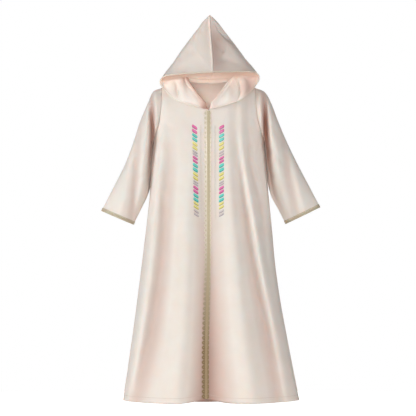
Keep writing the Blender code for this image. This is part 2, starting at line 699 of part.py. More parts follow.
def make_front_braid(side, front, normals, solid_width, scallop, braid):
    """A braid on the front's edge, straight at the closing and scalloped on its other side."""
    heights = front[:, 0, 2]
    low = heights[0] + FRONT_BRAID_HEM_GAP
    high = V_POINT_Z - FRONT_BRAID_TOP_DROP
    count = round((high - low) / SCALLOP_PITCH)
    stations = np.linspace(low, high, count * SCALLOP_POINTS + 1)
    bulge = np.abs(np.sin(math.pi * np.arange(len(stations)) / SCALLOP_POINTS))
    widths = solid_width + scallop * bulge
    cusps = np.arange(len(stations)) % SCALLOP_POINTS == 0
    levels = list(zip(stations, widths, cusps))
    on_rows = heights[(heights > low + 1e-4) & (heights < high - 1e-4)]
    levels += [(z, float(np.interp(z, stations, widths)), True) for z in on_rows]
    levels.sort()
    rows = np.arange(len(heights))
    bottom, top = [], []
    for z, width, _ in levels:
        row = float(np.interp(z, heights, rows))
        column = width / abs(on_grid(front, row, 1)[0] - on_grid(front, row, 0)[0])
        pair = [on_grid(front, row, 0), on_grid(front, row, column)]
        normal = unit(on_grid(normals, row, 0.2))
        bottom.append([p + BRAID_LIFT * normal for p in pair])
        top.append([p + (BRAID_LIFT + BRAID_THICK) * normal for p in pair])
    straight = [i for i, level in enumerate(levels) if level[2]]
    points = np.concatenate([np.array(bottom)[:, 1], np.array(top)[:, 1]])
    points = np.concatenate([points, np.array(bottom)[straight, 0], np.array(top)[straight, 0]])
    n, m = len(levels), len(straight)
    faces = []
    for i in range(n - 1):
        faces.append((i, i + 1, n + i + 1, n + i))
    for s in range(m - 1):
        a, b = straight[s], straight[s + 1]
        low_a, low_b = 2 * n + s, 2 * n + s + 1
        high_a, high_b = low_a + m, low_b + m
        faces.append((low_b, low_a, high_a, high_b))
        for base, inner_a, inner_b, flip in ((0, low_a, low_b, True), (n, high_a, high_b, False)):
            middle = (a + b) // 2
            fan = [(inner_a, base + i, base + i + 1) for i in range(a, middle)]
            fan += [(inner_b, base + i, base + i + 1) for i in range(middle, b)]
            fan.append((inner_a, base + middle, inner_b))
            faces += [f[::-1] for f in fan] if flip else fan
    faces.append((0, n, 2 * n + m, 2 * n))
    faces.append((n - 1, 2 * n + m - 1, 2 * n + 2 * m - 1, 2 * n - 1))
    name = "left" if side > 0 else "right"
    add_solid(f"front_braid_{name}", points, faces, braid)


def main():
    for obj in list(bpy.data.objects):
        bpy.data.objects.remove(obj)
    cloth = make_material("blush_crepe", (0.80, 0.66, 0.58), 0.75)
    braid = make_material("gold_braid", (0.46, 0.37, 0.23), 0.45, 0.3)
    back = make_back(cloth)
    for side in (-1, 1):
        front, normals = make_front(side, cloth)
        exact = front_grid(side)
        make_sleeve(side, exact, back, cloth, braid)
        make_hood(side, exact, back, cloth, braid)
        make_front_braid(side, front, normals, *FRONT_BRAIDS[side], braid)


main()
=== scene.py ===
import math

import bpy
import numpy as np
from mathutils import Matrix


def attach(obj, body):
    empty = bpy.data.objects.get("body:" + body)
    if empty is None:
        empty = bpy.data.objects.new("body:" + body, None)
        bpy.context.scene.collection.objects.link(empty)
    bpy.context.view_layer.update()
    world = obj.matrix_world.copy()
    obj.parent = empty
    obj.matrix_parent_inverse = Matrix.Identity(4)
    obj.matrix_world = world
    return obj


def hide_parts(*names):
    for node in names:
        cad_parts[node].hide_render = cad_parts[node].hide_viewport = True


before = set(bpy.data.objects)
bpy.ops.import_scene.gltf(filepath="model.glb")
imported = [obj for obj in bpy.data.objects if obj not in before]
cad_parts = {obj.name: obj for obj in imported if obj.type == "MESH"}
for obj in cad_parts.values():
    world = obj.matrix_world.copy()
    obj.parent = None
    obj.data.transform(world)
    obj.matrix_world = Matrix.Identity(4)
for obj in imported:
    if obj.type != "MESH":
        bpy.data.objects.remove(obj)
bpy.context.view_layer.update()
sides = ((-1, "Right"), (1, "Left"))  # the wearer's
print("stage: frame loaded")


# Shared curves and grids.


def metres(rows):  # a table in millimetres
    return np.array(rows, float) / 1000


# The named columns of a table, each as an array. Its lengths are in millimetres and become
# metres; its shares, sides and colours are plain numbers.
def columns(names, rows):
    table = dict(zip(names.split(), np.array(rows, float).T))
    plain = ("share", "side", "colour")
    return {name: values if name in plain else values / 1000 for name, values in table.items()}


# Long folds, a row each: the fold's place across at each level, its width at the top and at the
# end, and its rise at each level.
def foldTable(rows):
    levels = len(rows[0]) // 2 - 1
    return np.split(metres(rows), (levels, levels + 2), axis=1)


# A smooth curve through known values: a cubic on each stretch, with slopes from the neighbours.
def curve(known, values, at):
    known, values, at = (np.asarray(v, float) for v in (known, values, at))
    if known[0] > known[-1]:
        known, values = known[::-1], values[::-1]
    at = np.clip(at, known[0], known[-1])
    slope = np.gradient(values, known)
    i = np.clip(np.searchsorted(known, at, side="right") - 1, 0, len(known) - 2)
    step = known[i + 1] - known[i]
    t = (at - known[i]) / step
    start = (2 * t**3 - 3 * t**2 + 1) * values[i] + (t**3 - 2 * t**2 + t) * step * slope[i]
    end = (3 * t**2 - 2 * t**3) * values[i + 1] + (t**3 - t**2) * step * slope[i + 1]
    return start + end


def bell(x):
    return np.exp(-(x**2) / 2)


def ease(x):  # 0 to 1, flat at both ends
    x = np.clip(x, 0, 1)
    return x * x * (3 - 2 * x)


def unit(vectors):
    return vectors / np.maximum(np.linalg.norm(vectors, axis=-1, keepdims=True), 1e-12)


def runOf(points):  # the distance along a path, or along each row of a grid, from its start
    steps = np.linalg.norm(np.diff(points, axis=-2), axis=-1)
    return np.concatenate([np.zeros((*steps.shape[:-1], 1)), np.cumsum(steps, axis=-1)], axis=-1)


def spread(values, count):  # the nearest of the values at a number of even steps
    return values[np.linspace(0, len(values) - 1, count).round().astype(int)]


# Normals of a grid: the cross product of its two directions, turned to agree with outward.
def normalsOf(grid, outward, around=False):
    if around:
        across = np.roll(grid, -1, axis=1) - np.roll(grid, 1, axis=1)
    else:
        across = np.gradient(grid, axis=1)
    normals = unit(np.cross(across, np.gradient(grid, axis=0)))
    return normals * np.sign(np.sum(normals * outward))


# Soft creases, a row each of x0, z0, x1, z1, width, bend and rise: bell-shaped ridges or troughs
# across the line between two ends, which bows sideways by bend and fades out towards both ends.
# The line is seen from the front; facing is -1 for the cloth in front of y = middle, 1 behind.
def creased(grid, normals, creases, facing, middle=0.0):
    push = np.zeros(grid.shape[:2])
    x, y, z = grid[..., 0], grid[..., 1], grid[..., 2]
    for x0, z0, x1, z1, wide, bend, rise in creases:
        length = math.hypot(x1 - x0, z1 - z0)
        runX, runZ = (x1 - x0) / length, (z1 - z0) / length
        along = ((x - x0) * runX + (z - z0) * runZ) / length
        off = (x - x0) * -runZ + (z - z0) * runX
        off = off - bend * np.sin(np.pi * np.clip(along, 0, 1))
        fade = ease(along / 0.35) * ease((1 - along) / 0.35)
        push += rise * fade * bell(off / wide)
    push = push * ease(0.5 + facing * (y - middle) / 0.02)
    return grid + normals * push[..., None]


# The body: a level section at each height, with soft long folds.

body = {
    "neckHalf": 0.062,
    "neckPoint": 0.008,
    "shoulderHalf": 0.140,
    "shoulderTip": -0.012,
    "nape": 0.004,
    "vPoint": -0.079,
    "underarm": -0.165,
    "roundFront": 0.085,  # how far down the front the cloth turns over the shoulder
    "roundBack": 0.070,
    "paintedShade": 0.068,  # the depth of fold that has the full painted shade, darker and warmer
    "power": 3.0,  # 2 would make each level section half an ellipse
    "hem": -0.953,
    "hemLiftCentre": 0.010,
    "hemLiftWide": 0.032,
    "hemHalf": 0.26,
    "hemLiftSide": 0.005,
    "hemDropBack": 0.007,
    "sway": -0.007,  # of the closing, towards the wearer's right
    "swayFrom": -0.50,
    "swayOver": 0.32,
    "swayWide": 0.10,
    "skirtRows": 170,
    "yokeRows": 62,
    "frontColumns": 88,
    "backHalfColumns": 72,
    "yokeSteps": 11,  # the frame's rows from the underarm to the shoulder
    "vStep": 5,
    "sections": columns("z right left front back", (
        (30, 166, 168, 58, 76),
        (-75, 164, 167, 72, 82),
        (-165, 163, 166, 88, 86),
        (-230, 169, 172, 93, 86),
        (-330, 175, 179, 98, 88),
        (-440, 187, 190, 104, 94),
        (-530, 198, 198, 108, 101),
        (-650, 213, 215, 115, 110),
        (-770, 229, 237, 123, 120),
        (-860, 242, 254, 129, 127),
        (-957, 256, 273, 135, 134),
    )),
    "foldLevels": (-0.12, -0.23, -0.35, -0.53, -0.77, -0.957),
    "frontFolds": foldTable((
        (-138, -149, -162, -184, -214, -243, 9, 16, 3, 9, 14, 17, 17, 9),
        (-116, -116, -124, -137, -173, -221, 14, 22, -2, -12, -18, -22, -25, -20),
        (-73, -63, -66, -67, -71, -94, 21, 32, 1, 4, 8, 11, 14, 13),
        (-5, 0, 4, 10, 20, 32, 24, 36, 0, -3, -6, -9, -12, -14),
        (-6, -7, -8, -8, -9, -10, 16, 34, 0, -1, -5, -14, -27, -36),
        (60, 63, 66, 82, 110, 138, 15, 25, 2, 6, 9, 12, 14, 14),
        (78, 87, 101, 128, 177, 212, 10, 19, -2, -8, -14, -17, -21, -15),
        (97, 106, 127, 158, 206, 238, 9, 15, 2, 7, 14, 18, 18, 9),
        (118, 125, 153, 176, 190, 210, 7, 10, -2, -8, -10, -3, 0, 0),
    )),
    "backFolds": foldTable((
        (-138, -143, -152, -168, -196, -222, 12, 18, 0, 4, 6, 8, 9, 10),
        (-100, -106, -112, -122, -144, -164, 13, 20, 0, -6, -10, -13, -16, -18),
        (-52, -58, -64, -70, -82, -94, 18, 30, 0, 3, 7, 10, 13, 14),
        (0, -4, -6, -10, -14, -12, 16, 26, 0, -3, -8, -12, -15, -17),
        (44, 50, 58, 66, 78, 88, 17, 29, 0, 3, 7, 10, 13, 14),
        (94, 102, 110, 124, 150, 168, 13, 20, 0, -6, -9, -12, -16, -17),
        (132, 142, 152, 170, 200, 222, 11, 18, 0, 3, 5, 7, 9, 10),
    )),
}


def halfWidth(z, side):
    return curve(body["sections"]["z"], body["sections"]["left" if side > 0 else "right"], z)


def shoulderLine(x):  # the height of the straight shoulder seam at a distance from the centre
    fall = (body["shoulderTip"] - body["neckPoint"]) / (body["shoulderHalf"] - body["neckHalf"])
    return body["neckPoint"] + fall * (np.abs(x) - body["neckHalf"])


# Each fold is a bell across the cloth, whose place, rise and width run smoothly down its levels.
def foldRise(folds, levels, x, z):
    total = np.zeros(np.broadcast(x, z).shape)
    down = np.clip((z - levels[0]) / (levels[-1] - levels[0]), 0, 1)
    for place, (top, end), rise in zip(*folds):
        wide = top + (end - top) * down
        total += curve(levels, rise, z) * bell((x - curve(levels, place, z)) / wide)
    return total


def bodyFolds(x, z, facing):
    return foldRise(body["frontFolds" if facing < 0 else "backFolds"], body["foldLevels"], x, z)


# Depth from the plane of the side seams: a superellipse across, a quarter circle over the
# shoulder, and the folds, which fade out at the side seam. Facing is -1 in front, 1 behind.
def bodyDepth(x, z, facing):
    x, z = np.asarray(x, float), np.asarray(z, float)
    wide = np.where(x > 0, halfWidth(z, 1), halfWidth(z, -1))
    share = np.clip(np.abs(x) / wide, 0, 1)
    roundDown = body["roundFront"] if facing < 0 else body["roundBack"]
    drop = np.clip((shoulderLine(x) - z) / roundDown, 0, 1)
    depth = curve(body["sections"]["z"], body["sections"]["front" if facing < 0 else "back"], z)
    folds = bodyFolds(x, z, facing) * (1 - share**8)
    return (depth * np.sqrt(1 - share ** body["power"]) + folds) * np.sqrt(1 - (1 - drop) ** 2)


def foldPaintedShade(grid, facing):  # painted shade: 0 on the ridges, 1 where a fold has the full darker, warmer painted shade
    return np.clip(-bodyFolds(grid[..., 0], grid[..., 2], facing) / body["paintedShade"], 0, 1)


# A point on the body. Lower down, the closing hangs a little to one side.
def onBody(x, z, facing):
    depth = facing * bodyDepth(x, z, facing)
    if facing < 0:
        low = ease((body["swayFrom"] - z) / body["swayOver"])
        x = x + body["sway"] * low * bell(x / body["swayWide"])
    return np.stack([x, depth, z], axis=-1)


def hemHeight(x, facing):  # lifts at the side seams and at the closing, and hangs lower behind
    lift = np.clip(np.abs(x) / body["hemHalf"], 0, 1) ** 4
    if facing > 0:
        drop = body["hemDropBack"]
        return body["hem"] - drop + (body["hemLiftSide"] + drop) * lift
    centre = body["hemLiftCentre"] * bell(x / body["hemLiftWide"])
    return body["hem"] + body["hemLiftSide"] * lift + centre


def armholeEdge(step, side):  # (distance from the centre, height), from the underarm up
    low = (1 - np.cos(np.pi * (1 - step / body["yokeSteps"]))) / 2
    z = body["shoulderTip"] + (body["underarm"] - body["shoulderTip"]) * low
    under = halfWidth(body["underarm"], side)
    return body["shoulderHalf"] + (under - body["shoulderHalf"]) * low**3, z


# The rows of the body's grids: the skirt's heights, how near each is to the hem, and the steps
# up the yoke.
t = np.linspace(0, 1, body["skirtRows"] + 1)[:, None]
skirtHeights = body["hem"] + (body["underarm"] - body["hem"]) * (0.85 * t + 0.15 * t**0.8)
nearHem = np.linspace(1, 0, body["skirtRows"] + 1)[:, None] ** 6
yokeSteps = np.linspace(0, body["yokeSteps"], body["yokeRows"] + 1)[1:, None]


# Half the front: rows from the hem to the shoulder seam, columns from the closing to the side.
def frontGrid(side):
    across = np.sin(np.linspace(0, np.pi / 2, body["frontColumns"] + 1))
    x = side * halfWidth(skirtHeights, side) * across
    z = skirtHeights + (hemHeight(x, -1) - body["hem"]) * nearHem
    outerX, outerZ = armholeEdge(yokeSteps, side)
    t = np.clip((yokeSteps - body["vStep"]) / (body["yokeSteps"] - body["vStep"]), 0, 1)
    toV = np.minimum(yokeSteps / body["vStep"], 1)
    innerX = body["neckHalf"] * t
    innerZ = body["underarm"] + (body["vPoint"] - body["underarm"]) * toV
    innerZ = innerZ + (body["neckPoint"] - body["vPoint"]) * t**1.2
    x = np.concatenate([x, side * (innerX + (outerX - innerX) * across)])
    z = np.concatenate([z, innerZ + (outerZ - innerZ) * across])
    return onBody(x, z, -1)


# The back: rows from the hem to the shoulder and nape, columns from the wearer's right to left.
def backGrid():
    count = body["backHalfColumns"]
    half = np.sin(np.linspace(0, np.pi / 2, count + 1))
    onNeck = round(count * 5 / 11)
    column = np.arange(count + 1)
    neckX = body["neckHalf"] * column / onNeck
    alongShoulder = (column - onNeck) / (count - onNeck)
    shoulderX = body["neckHalf"] + (body["shoulderHalf"] - body["neckHalf"]) * alongShoulder
    topX = np.where(column <= onNeck, neckX, shoulderX)
    napeZ = body["nape"] + (body["neckPoint"] - body["nape"]) * (topX / body["neckHalf"]) ** 3
    topZ = np.where(column <= onNeck, napeZ, shoulderLine(topX))
    halves = []
    for side, _ in sides:
        x = side * halfWidth(skirtHeights, side) * half
        skirtZ = skirtHeights + (hemHeight(x, 1) - body["hem"]) * nearHem
        outerX, outerZ = armholeEdge(yokeSteps, side)
        up = (outerZ - body["underarm"]) / (body["shoulderTip"] - body["underarm"])
        under = halfWidth(body["underarm"], side)
        yokeX = under * half * (1 - up) + topX * up
        yokeX = yokeX + (outerX - (under * (1 - up) + body["shoulderHalf"] * up)) * half**3
        yokeZ = body["underarm"] * (1 - up) + topZ * up
        halves.append((np.concatenate([x, side * yokeX]), np.concatenate([skirtZ, yokeZ])))
    (rightX, rightZ), (leftX, leftZ) = halves
    x = np.concatenate([rightX[:, ::-1], leftX[:, 1:]], axis=1)
    z = np.concatenate([rightZ[:, ::-1], leftZ[:, 1:]], axis=1)
    return onBody(x, z, 1)


# Small creases that cross the long folds: pulls from the armholes, and slight dents lower down.
bodyCreases = {
    "front": metres((
        (-152, -105, -104, -146, 8, 5, -1.4),
        (-156, -150, -112, -226, 7, -6, 2),
        (-162, -290, -125, -420, 9, 9, -2),
        (-90, -500, -110, -660, 10, -8, -1.8),
        (150, -95, 108, -136, 8, -5, -1.6),
        (154, -140, 116, -236, 7, 7, 1.8),
        (128, -330, 96, -470, 9, 10, -1.8),
        (90, -560, 116, -700, 10, 8, -2),
    )),
    "back": metres((
        (-138, -40, -58, -92, 9, 10, -2.6),
        (136, -44, 70, -108, 9, -12, -2.3),
        (-155, -140, -92, -206, 8, 8, -2.6),
        (156, -132, 100, -224, 8, -8, -2.8),
        (-40, -22, -12, -140, 10, 8, -1.8),
        (-128, -350, -84, -520, 11, 12, -2.2),
        (136, -392, 92, -570, 11, -10, -2.4),
        (-36, -600, 8, -800, 13, 12, -2.4),
        (60, -690, 110, -860, 12, -10, 2),
    )),
}

# The sleeves: rings from the armhole to the cuff.

sleeves = {
    "rows": 132,
    "around": 104,
    "toBody": 0.0016,
    "paintedShade": 0.030,  # the depth of fold that has the full painted shade, darker and warmer
    "tuck": 0.0165,  # how far the sleeve wraps behind the side of the body
    "tuckAt": 1.28,  # half turns from the outer edge round by the front
    "tuckWide": 0.32,
    "fitShare": 0.2,  # of the length, over which a ring turns from the armhole into an ellipse
    "edges": {
        -1: columns("share outerX outerZ innerX innerZ depth", (
            (0.00, 140, -12, 163, -165, 54),
            (0.12, 166, -23, 168, -186, 55),
            (0.25, 181, -55, 171, -215, 53),
            (0.40, 205, -112, 175, -255, 49),
            (0.55, 226, -176, 178, -295, 45),
            (0.70, 250, -240, 183, -334, 40),
            (0.85, 284, -308, 204, -379, 34),
            (1.00, 321, -381, 225.5, -422, 28),
        )),
        1: columns("share outerX outerZ innerX innerZ depth", (
            (0.00, 140, -12, 166, -165, 54),
            (0.12, 168, -24, 171, -186, 55),
            (0.25, 187, -55, 174, -215, 53),
            (0.40, 209, -112, 178, -255, 49),
            (0.55, 236, -176, 182, -295, 45),
            (0.70, 267, -240, 188, -335, 40),
            (0.85, 301, -305, 211, -379, 34),
            (1.00, 335, -370, 232, -420, 28),
        )),
    },
    "foldLevels": (-0.03, -0.10, -0.20, -0.30, -0.40),
    "folds": {
        -1: foldTable((
            (156, 157, 163, 178, 200, 6, 6, 3, 5, 0, 0, 0),
            (171, 168, 170, 181, 215, 7, 7, -7, -22, -19, -5, 0),
            (186, 188, 192, 200, 222, 9, 9, 1, 3, 4, 4, 2),
            (196, 204, 212, 220, 228, 10, 10, 0, -2, -6, -8, -6),
            (212, 222, 236, 250, 268, 12, 12, 0, 0, 3, 5, 4),
        )),
        1: foldTable((
            (156, 157, 165, 180, 200, 6, 6, 2, 5, 0, 0, 0),
            (166, 169, 176, 187, 222, 7, 7, -8, -26, -24, -14, -2),
            (188, 194, 204, 220, 250, 12, 12, 1, 3, 5, 4, 1),
            (208, 216, 228, 242, 262, 11, 11, 0, -1, -5, -7, -4),
            (226, 234, 250, 268, 292, 10, 10, 0, 0, 2, 4, 3),
        )),
    },
    "creases": {
        -1: metres((
            (170, -190, 236, -262, 7, 8, -2.4),
            (178, -262, 240, -296, 6, -5, -2),
            (176, -120, 214, -176, 7, 6, -1.8),
            (212, -320, 262, -372, 8, 6, 1.6),
        )),
        1: metres((
            (172, -170, 240, -236, 8, -8, -2.6),
            (180, -240, 236, -290, 7, 6, -2.2),
            (182, -300, 232, -330, 6, -4, -1.8),
            (176, -90, 204, -150, 7, 6, 1.8),
        )),
    },
}


# Each ring is an ellipse between the sleeve's outer and inner edge, fitted to the armhole's
# own loop at the top, with folds pushed straight in or out from the sleeve's middle plane.
def sleeveGrid(side):
    sizes = sleeves["edges"][side]
    count = sleeves["around"]
    angle = np.arange(count) * 2 * np.pi / count
    shares = np.linspace(0, 1, sleeves["rows"] + 1)[:, None] ** 1.15
    size = {name: curve(sizes["share"], sizes[name], shares) for name in sizes}
    clear = halfWidth(size["innerZ"], side) + sleeves["toBody"]
    innerX = np.where(shares > 0, np.maximum(size["innerX"], clear), size["innerX"])
    middleX, reachX = (size["outerX"] + innerX) / 2, (size["outerX"] - innerX) / 2
    middleZ = (size["outerZ"] + size["innerZ"]) / 2
    reachZ = (size["outerZ"] - size["innerZ"]) / 2
    x = side * (middleX + reachX * np.cos(angle))
    y = -size["depth"] * np.sin(angle)
    z = middleZ + reachZ * np.cos(angle)
    grid = np.stack([x, y, z], axis=-1)
    behind = angle > np.pi
    step = body["yokeSteps"] * (1 - np.where(behind, 2 * np.pi - angle, angle) / np.pi)
    loopX, loopZ = armholeEdge(step, side)
    loopX = side * loopX
    loopY = np.where(behind, bodyDepth(loopX, loopZ, 1), -bodyDepth(loopX, loopZ, -1))
    fit = np.stack([loopX, loopY, loopZ], axis=-1) - grid[0]
    grid = grid + fit * (np.maximum(0, 1 - shares / sleeves["fitShare"]) ** 2)[..., None]
    # The sleeve wraps behind the body only where it hangs close to it.
    close = ease(1 - (innerX - clear) / 0.020) * ease((shares - 0.10) / 0.15)
    tuck = bell((angle - sleeves["tuckAt"] * np.pi) / sleeves["tuckWide"])
    grid[..., 0] -= side * sleeves["tuck"] * close * tuck
    x, y, z = side * grid[..., 0], grid[..., 1], grid[..., 2]
    push = foldRise(sleeves["folds"][side], sleeves["foldLevels"], x, z)
    # Painted shade in the sleeve's folds, darker and warmer, fading out towards the sleeve's
    # edges.
    paintedShade = np.clip(-push / sleeves["paintedShade"], 0, 1) * ease(np.abs(y) / 0.03)
    # A fold never reaches the middle plane, and fades out at the armhole and at the edges.
    push = np.maximum(push, -0.55 * np.abs(y)) * np.clip(shares / 0.12, 0, 1)
    grid[..., 1] += np.sign(y) * push * np.clip(np.abs(y) / 0.02, 0, 1)
    normals = normalsOf(grid, grid - grid.mean(axis=1, keepdims=True), True)
    mirrored = grid * (side, 1, 1)
    for facing in (-1, 1):
        moved = creased(mirrored, normals * (side, 1, 1), sleeves["creases"][facing], facing)
        grid = grid + (moved - mirrored) * (side, 1, 1)
    return grid, paintedShade


# The hood: rows from the neckline over its turned-down front to the point.

hood = {
    "rowSteps": 8,  # fine rows for each row of the tables
    "frontColumns": 52,
    "backColumns": 44,
    "shift": 0.0035,  # of the whole hood towards the wearer's left
    "ridgeLean": 0.009,  # and of its seams, the most at the height leanAt
    "leanAt": 0.055,
    "leanHigh": 0.09,
    "leanWide": 0.06,
    "skew": 0.006,  # how much higher the left half stands than the middle
    "standOffChest": 0.0025,  # the least gap to the chest at the stand, and beyond it
    "offChest": 0.0050,
    "offShoulder": 0.008,
    "handle": 0.45,  # how far the Bezier curves run straight on
    "seamRise": 0.0022,  # the ridge seam stands out as a narrow fold
    "seamWide": 0.0045,
    "neckPaintedShade": {-1: 0.80, 1: 0.10},  # painted shade of the fold along the neck seam, in front
    # Patches of painted shade, a row each: side, x, z, width, height and share.
    "paintedShades": columns("side x z wide high share", (
        (1, 14, 100, 20, 60, 0.32),  # painted shade on the left half, beside the ridge
        (1, 117, -12, 15, 24, 0.55),  # painted shade on the turned-down front
        (-1, -74, 10, 8, 13, 0.50),
    )),
    "stand": metres((  # out and up from the neckline, and x, y, z from its front end
        (2, 9, 4, -4, 2.5),
        (9, 13, 15, -7, 3),
    )),
    "rows": metres((  # x, y, z of the front end, x, y, z of the widest point, y, z behind
        (31, -81, -71.5, 78, 2, 20, 61, 28),
        (64, -75, -62, 100, 2, 20, 67, 44),
        (94, -62, -50, 122, 4, 18, 75, 62),
        (122, -42, -29, 137, 8, 16, 84, 80),
        (143, -26, -3, 145, 12, 16, 91, 98),
        (149, -22, 13, 144, 16, 25, 96, 114),
        (137, -26, 27, 131, 20, 42, 97, 130),
        (108, -40, 30.5, 114, 22, 62, 96, 145),
        (72, -58, 31.5, 98.5, 23, 84, 92, 159),
        (36, -72, 32, 82, 25, 107, 85, 172),
        (0, -80, 32, 64, 27, 131, 76, 183),
        (0, -44, 92, 46.5, 28, 155, 66, 192),
        (0, -10, 146, 28.5, 29, 180, 54, 200),
        (0, 14, 184, 14.2, 30, 196, 44, 205.5),
        (0, 25.5, 203, 2.5, 30, 207, 34, 208.5),
    )),
    "creases": {
        -1: metres((
            (22, 230, 64, 20, 24, -4, -12),  # the left half sags
            (22, 186, 72, 122, 4.5, 5, -2.8),
            (16, 150, 62, 96, 6, -6, -2),
            (24, 82, 110, 50, 7, 5, -2),
            (-52, 140, -20, 160, 6, 0, 1.8),
            (-100, 60, -30, 110, 9, 6, -1.8),
            (-100, 20, -90, -52, 5.5, 2, 6.5),  # the turned-down front
            (-81, 26, -72, -60, 6, 3, -7),
            (74, 36, 80, -66, 4.2, 18, 7.5),
            (84, 32, 94, -58, 7, 20, -9),
            (50, 10, 60, -60, 7, 4, -2),
        )),
        1: metres((
            (-20, 190, -70, 90, 7, 6, -2.6),
            (26, 180, 84, 84, 7, -6, -2.4),
            (-18, 120, -60, 40, 8, 6, -2.6),
            (16, 130, 54, 36, 8, -8, -2.8),
            (-95, 80, -64, 10, 9, -6, -2.2),
            (98, 76, 70, 8, 9, 6, -2.4),
        )),
    },
}


def bezier(a, b, c, d, t):
    t = t[:, None]
    return (1 - t) ** 3 * a + 3 * (1 - t) ** 2 * t * b + 3 * (1 - t) * t**2 * c + t**3 * d


# One row of half the hood: two Bezier curves, from the front end to the widest point and on
# to the centre seam.
def hoodRow(row):
    front, side, back = np.split(row, (3, 6))
    back = np.array([0, *back])
    forward = hood["handle"] * (side[1] - front[1])
    leave = front + hood["handle"] * (side - front) + (0, -0.12 * forward, 0)
    t = np.linspace(0, 1, hood["frontColumns"] + 1)
    toSide = bezier(front, leave, side - (0, forward, 0), side, t)
    rearward = 0.5 * (back[1] - side[1])
    rise = 0.1 * (back[2] - side[2])
    leave = side + (0, rearward, rise)
    arrive = back + (0.55 * side[0], 0, -rise)
    toBack = bezier(side, leave, arrive, back, np.linspace(0, 1, hood["backColumns"] + 1))
    return np.concatenate([toSide[:-1], toBack])


# The neckline on the wearer's left: along the front from the V to the neck point, then behind.
def neckline():
    t = np.linspace(0, 1, hood["frontColumns"] + 1)[:-1]
    x = body["neckHalf"] * t
    z = body["vPoint"] + (body["neckPoint"] - body["vPoint"]) * t**1.2
    front = onBody(x, z, -1)
    x = np.linspace(body["neckHalf"], 0, hood["backColumns"] + 1)
    z = body["nape"] + (body["neckPoint"] - body["nape"]) * (x / body["neckHalf"]) ** 3
    return np.concatenate([front, onBody(x, z, 1)])


# The whole hood stands a little towards the left, its ridge and back seam the most.
def hoodLean(x, z):
    seam = hood["ridgeLean"] * np.exp(-(((z - hood["leanAt"]) / hood["leanHigh"]) ** 2))
    seam = seam * np.exp(-((x / hood["leanWide"]) ** 2))
    out = np.clip((np.abs(x) - 0.08) / 0.04, 0, 1)
    low = hood["shift"] * out * np.clip((z + 0.03) / 0.04, 0, 1)
    up = ease((z - 0.008) / 0.02)
    return (1 - up) * low + up * (hood["shift"] + seam)


# Soft patches of painted shade on one half of the hood's front: each is the product of two bells.
def hoodPaintedShade(grid, side):
    x, y, z = grid[..., 0], grid[..., 1], grid[..., 2]
    total = np.zeros_like(x)
    paintedShades = hood["paintedShades"]
    for k in np.flatnonzero(paintedShades["side"] == side):
        across = bell((x - paintedShades["x"][k]) / paintedShades["wide"][k])
        total += paintedShades["share"][k] * across * bell((z - paintedShades["z"][k]) / paintedShades["high"][k])
    return total * ease((0.03 - y) / 0.03)


def hoodNormals(grid, side):  # turned so that the hood's upper half faces out to its side
    outward = np.zeros_like(grid)
    outward[len(grid) // 2 :, :, 0] = side
    return normalsOf(grid, outward)


# The hood's own rows, then cubic curves through them from row to row, in two stretches that
# meet where the free edge turns up into the ridge seam.
def hoodGrid(side):
    neck = neckline()
    outward = unit(neck * (1, 1, 0))
    control = [neck]
    for out, up, *edge in hood["stand"]:
        row = neck + out * outward + (0, 0, up)
        near = ease(1 - np.arange(len(row)) / (hood["frontColumns"] / 6))[:, None]
        control.append(row * (1 - near) + (neck[0] + edge + (row - row[0]) * 0.6) * near)
    control = np.array(control + [hoodRow(row) for row in hood["rows"]])
    first = 1 + len(hood["stand"])
    ridge = first + int(np.argmax(hood["rows"][:, 0] == 0))
    parts, at = [], []
    for low, high in ((0, ridge), (ridge, len(control) - 1)):
        level = np.linspace(low, high, (high - low) * hood["rowSteps"] + 1)
        level = level if low == 0 else level[1:]
        known = np.arange(low, high + 1)
        flat = control[low : high + 1].reshape(len(known), -1)
        parts.append(np.array([curve(known, flat[:, c], level) for c in range(flat.shape[1])]).T)
        at.append(level)
    at = np.concatenate(at)[:, None]
    grid = np.concatenate(parts).reshape(len(at), -1, 3)
    grid[..., 0] *= side
    x, z = grid[..., 0].copy(), grid[..., 2].copy()
    grid[..., 0] += hoodLean(x, z) * np.clip(at, 0, 1)
    rise = np.clip((z + 0.03) / 0.04, 0, 1) * np.clip((0.15 - z) / 0.10, 0, 1)
    grid[..., 2] += hood["skew"] * x / body["shoulderHalf"] * rise * np.clip(at - first + 1, 0, 1)
    grid = clearOfBody(grid, at)
    normals = hoodNormals(grid, side)
    # The creases fade out towards the back seam and the ridge, and leave the stand alone.
    offSeams = np.ones(grid.shape[:2])
    offSeams[:, -8:] = ease(np.arange(7, -1, -1) / 7)
    onRidge = np.arange(len(grid)) >= ridge * hood["rowSteps"] - 3
    offSeams[onRidge, :4] = ease(np.arange(4) / 4)
    offSeams[: first * hood["rowSteps"]] = 0
    for facing in (-1, 1):
        moved = creased(grid, normals, hood["creases"][facing], facing, 0.028)
        grid = grid + (moved - grid) * offSeams[..., None]
    seam = bell(np.linalg.norm(grid - grid[:, :1], axis=-1) / hood["seamWide"])
    seam = seam * ease((at - ridge + 0.2) / 1.2) * ease((len(control) - 1 - at) / 1.5)
    grid = grid + seam[..., None] * hood["seamRise"] * np.array([0, -0.8, 0.6])
    # Painted shade along the neck seam in front, and in the patches.
    atNeck = ease((first + 0.1 - at) / 1.3) * ease((0.02 - grid[..., 1]) / 0.03)
    paintedShade = np.maximum(hood["neckPaintedShade"][side] * atNeck, hoodPaintedShade(grid, side))
    return grid, paintedShade, ridge * hood["rowSteps"], first * hood["rowSteps"]


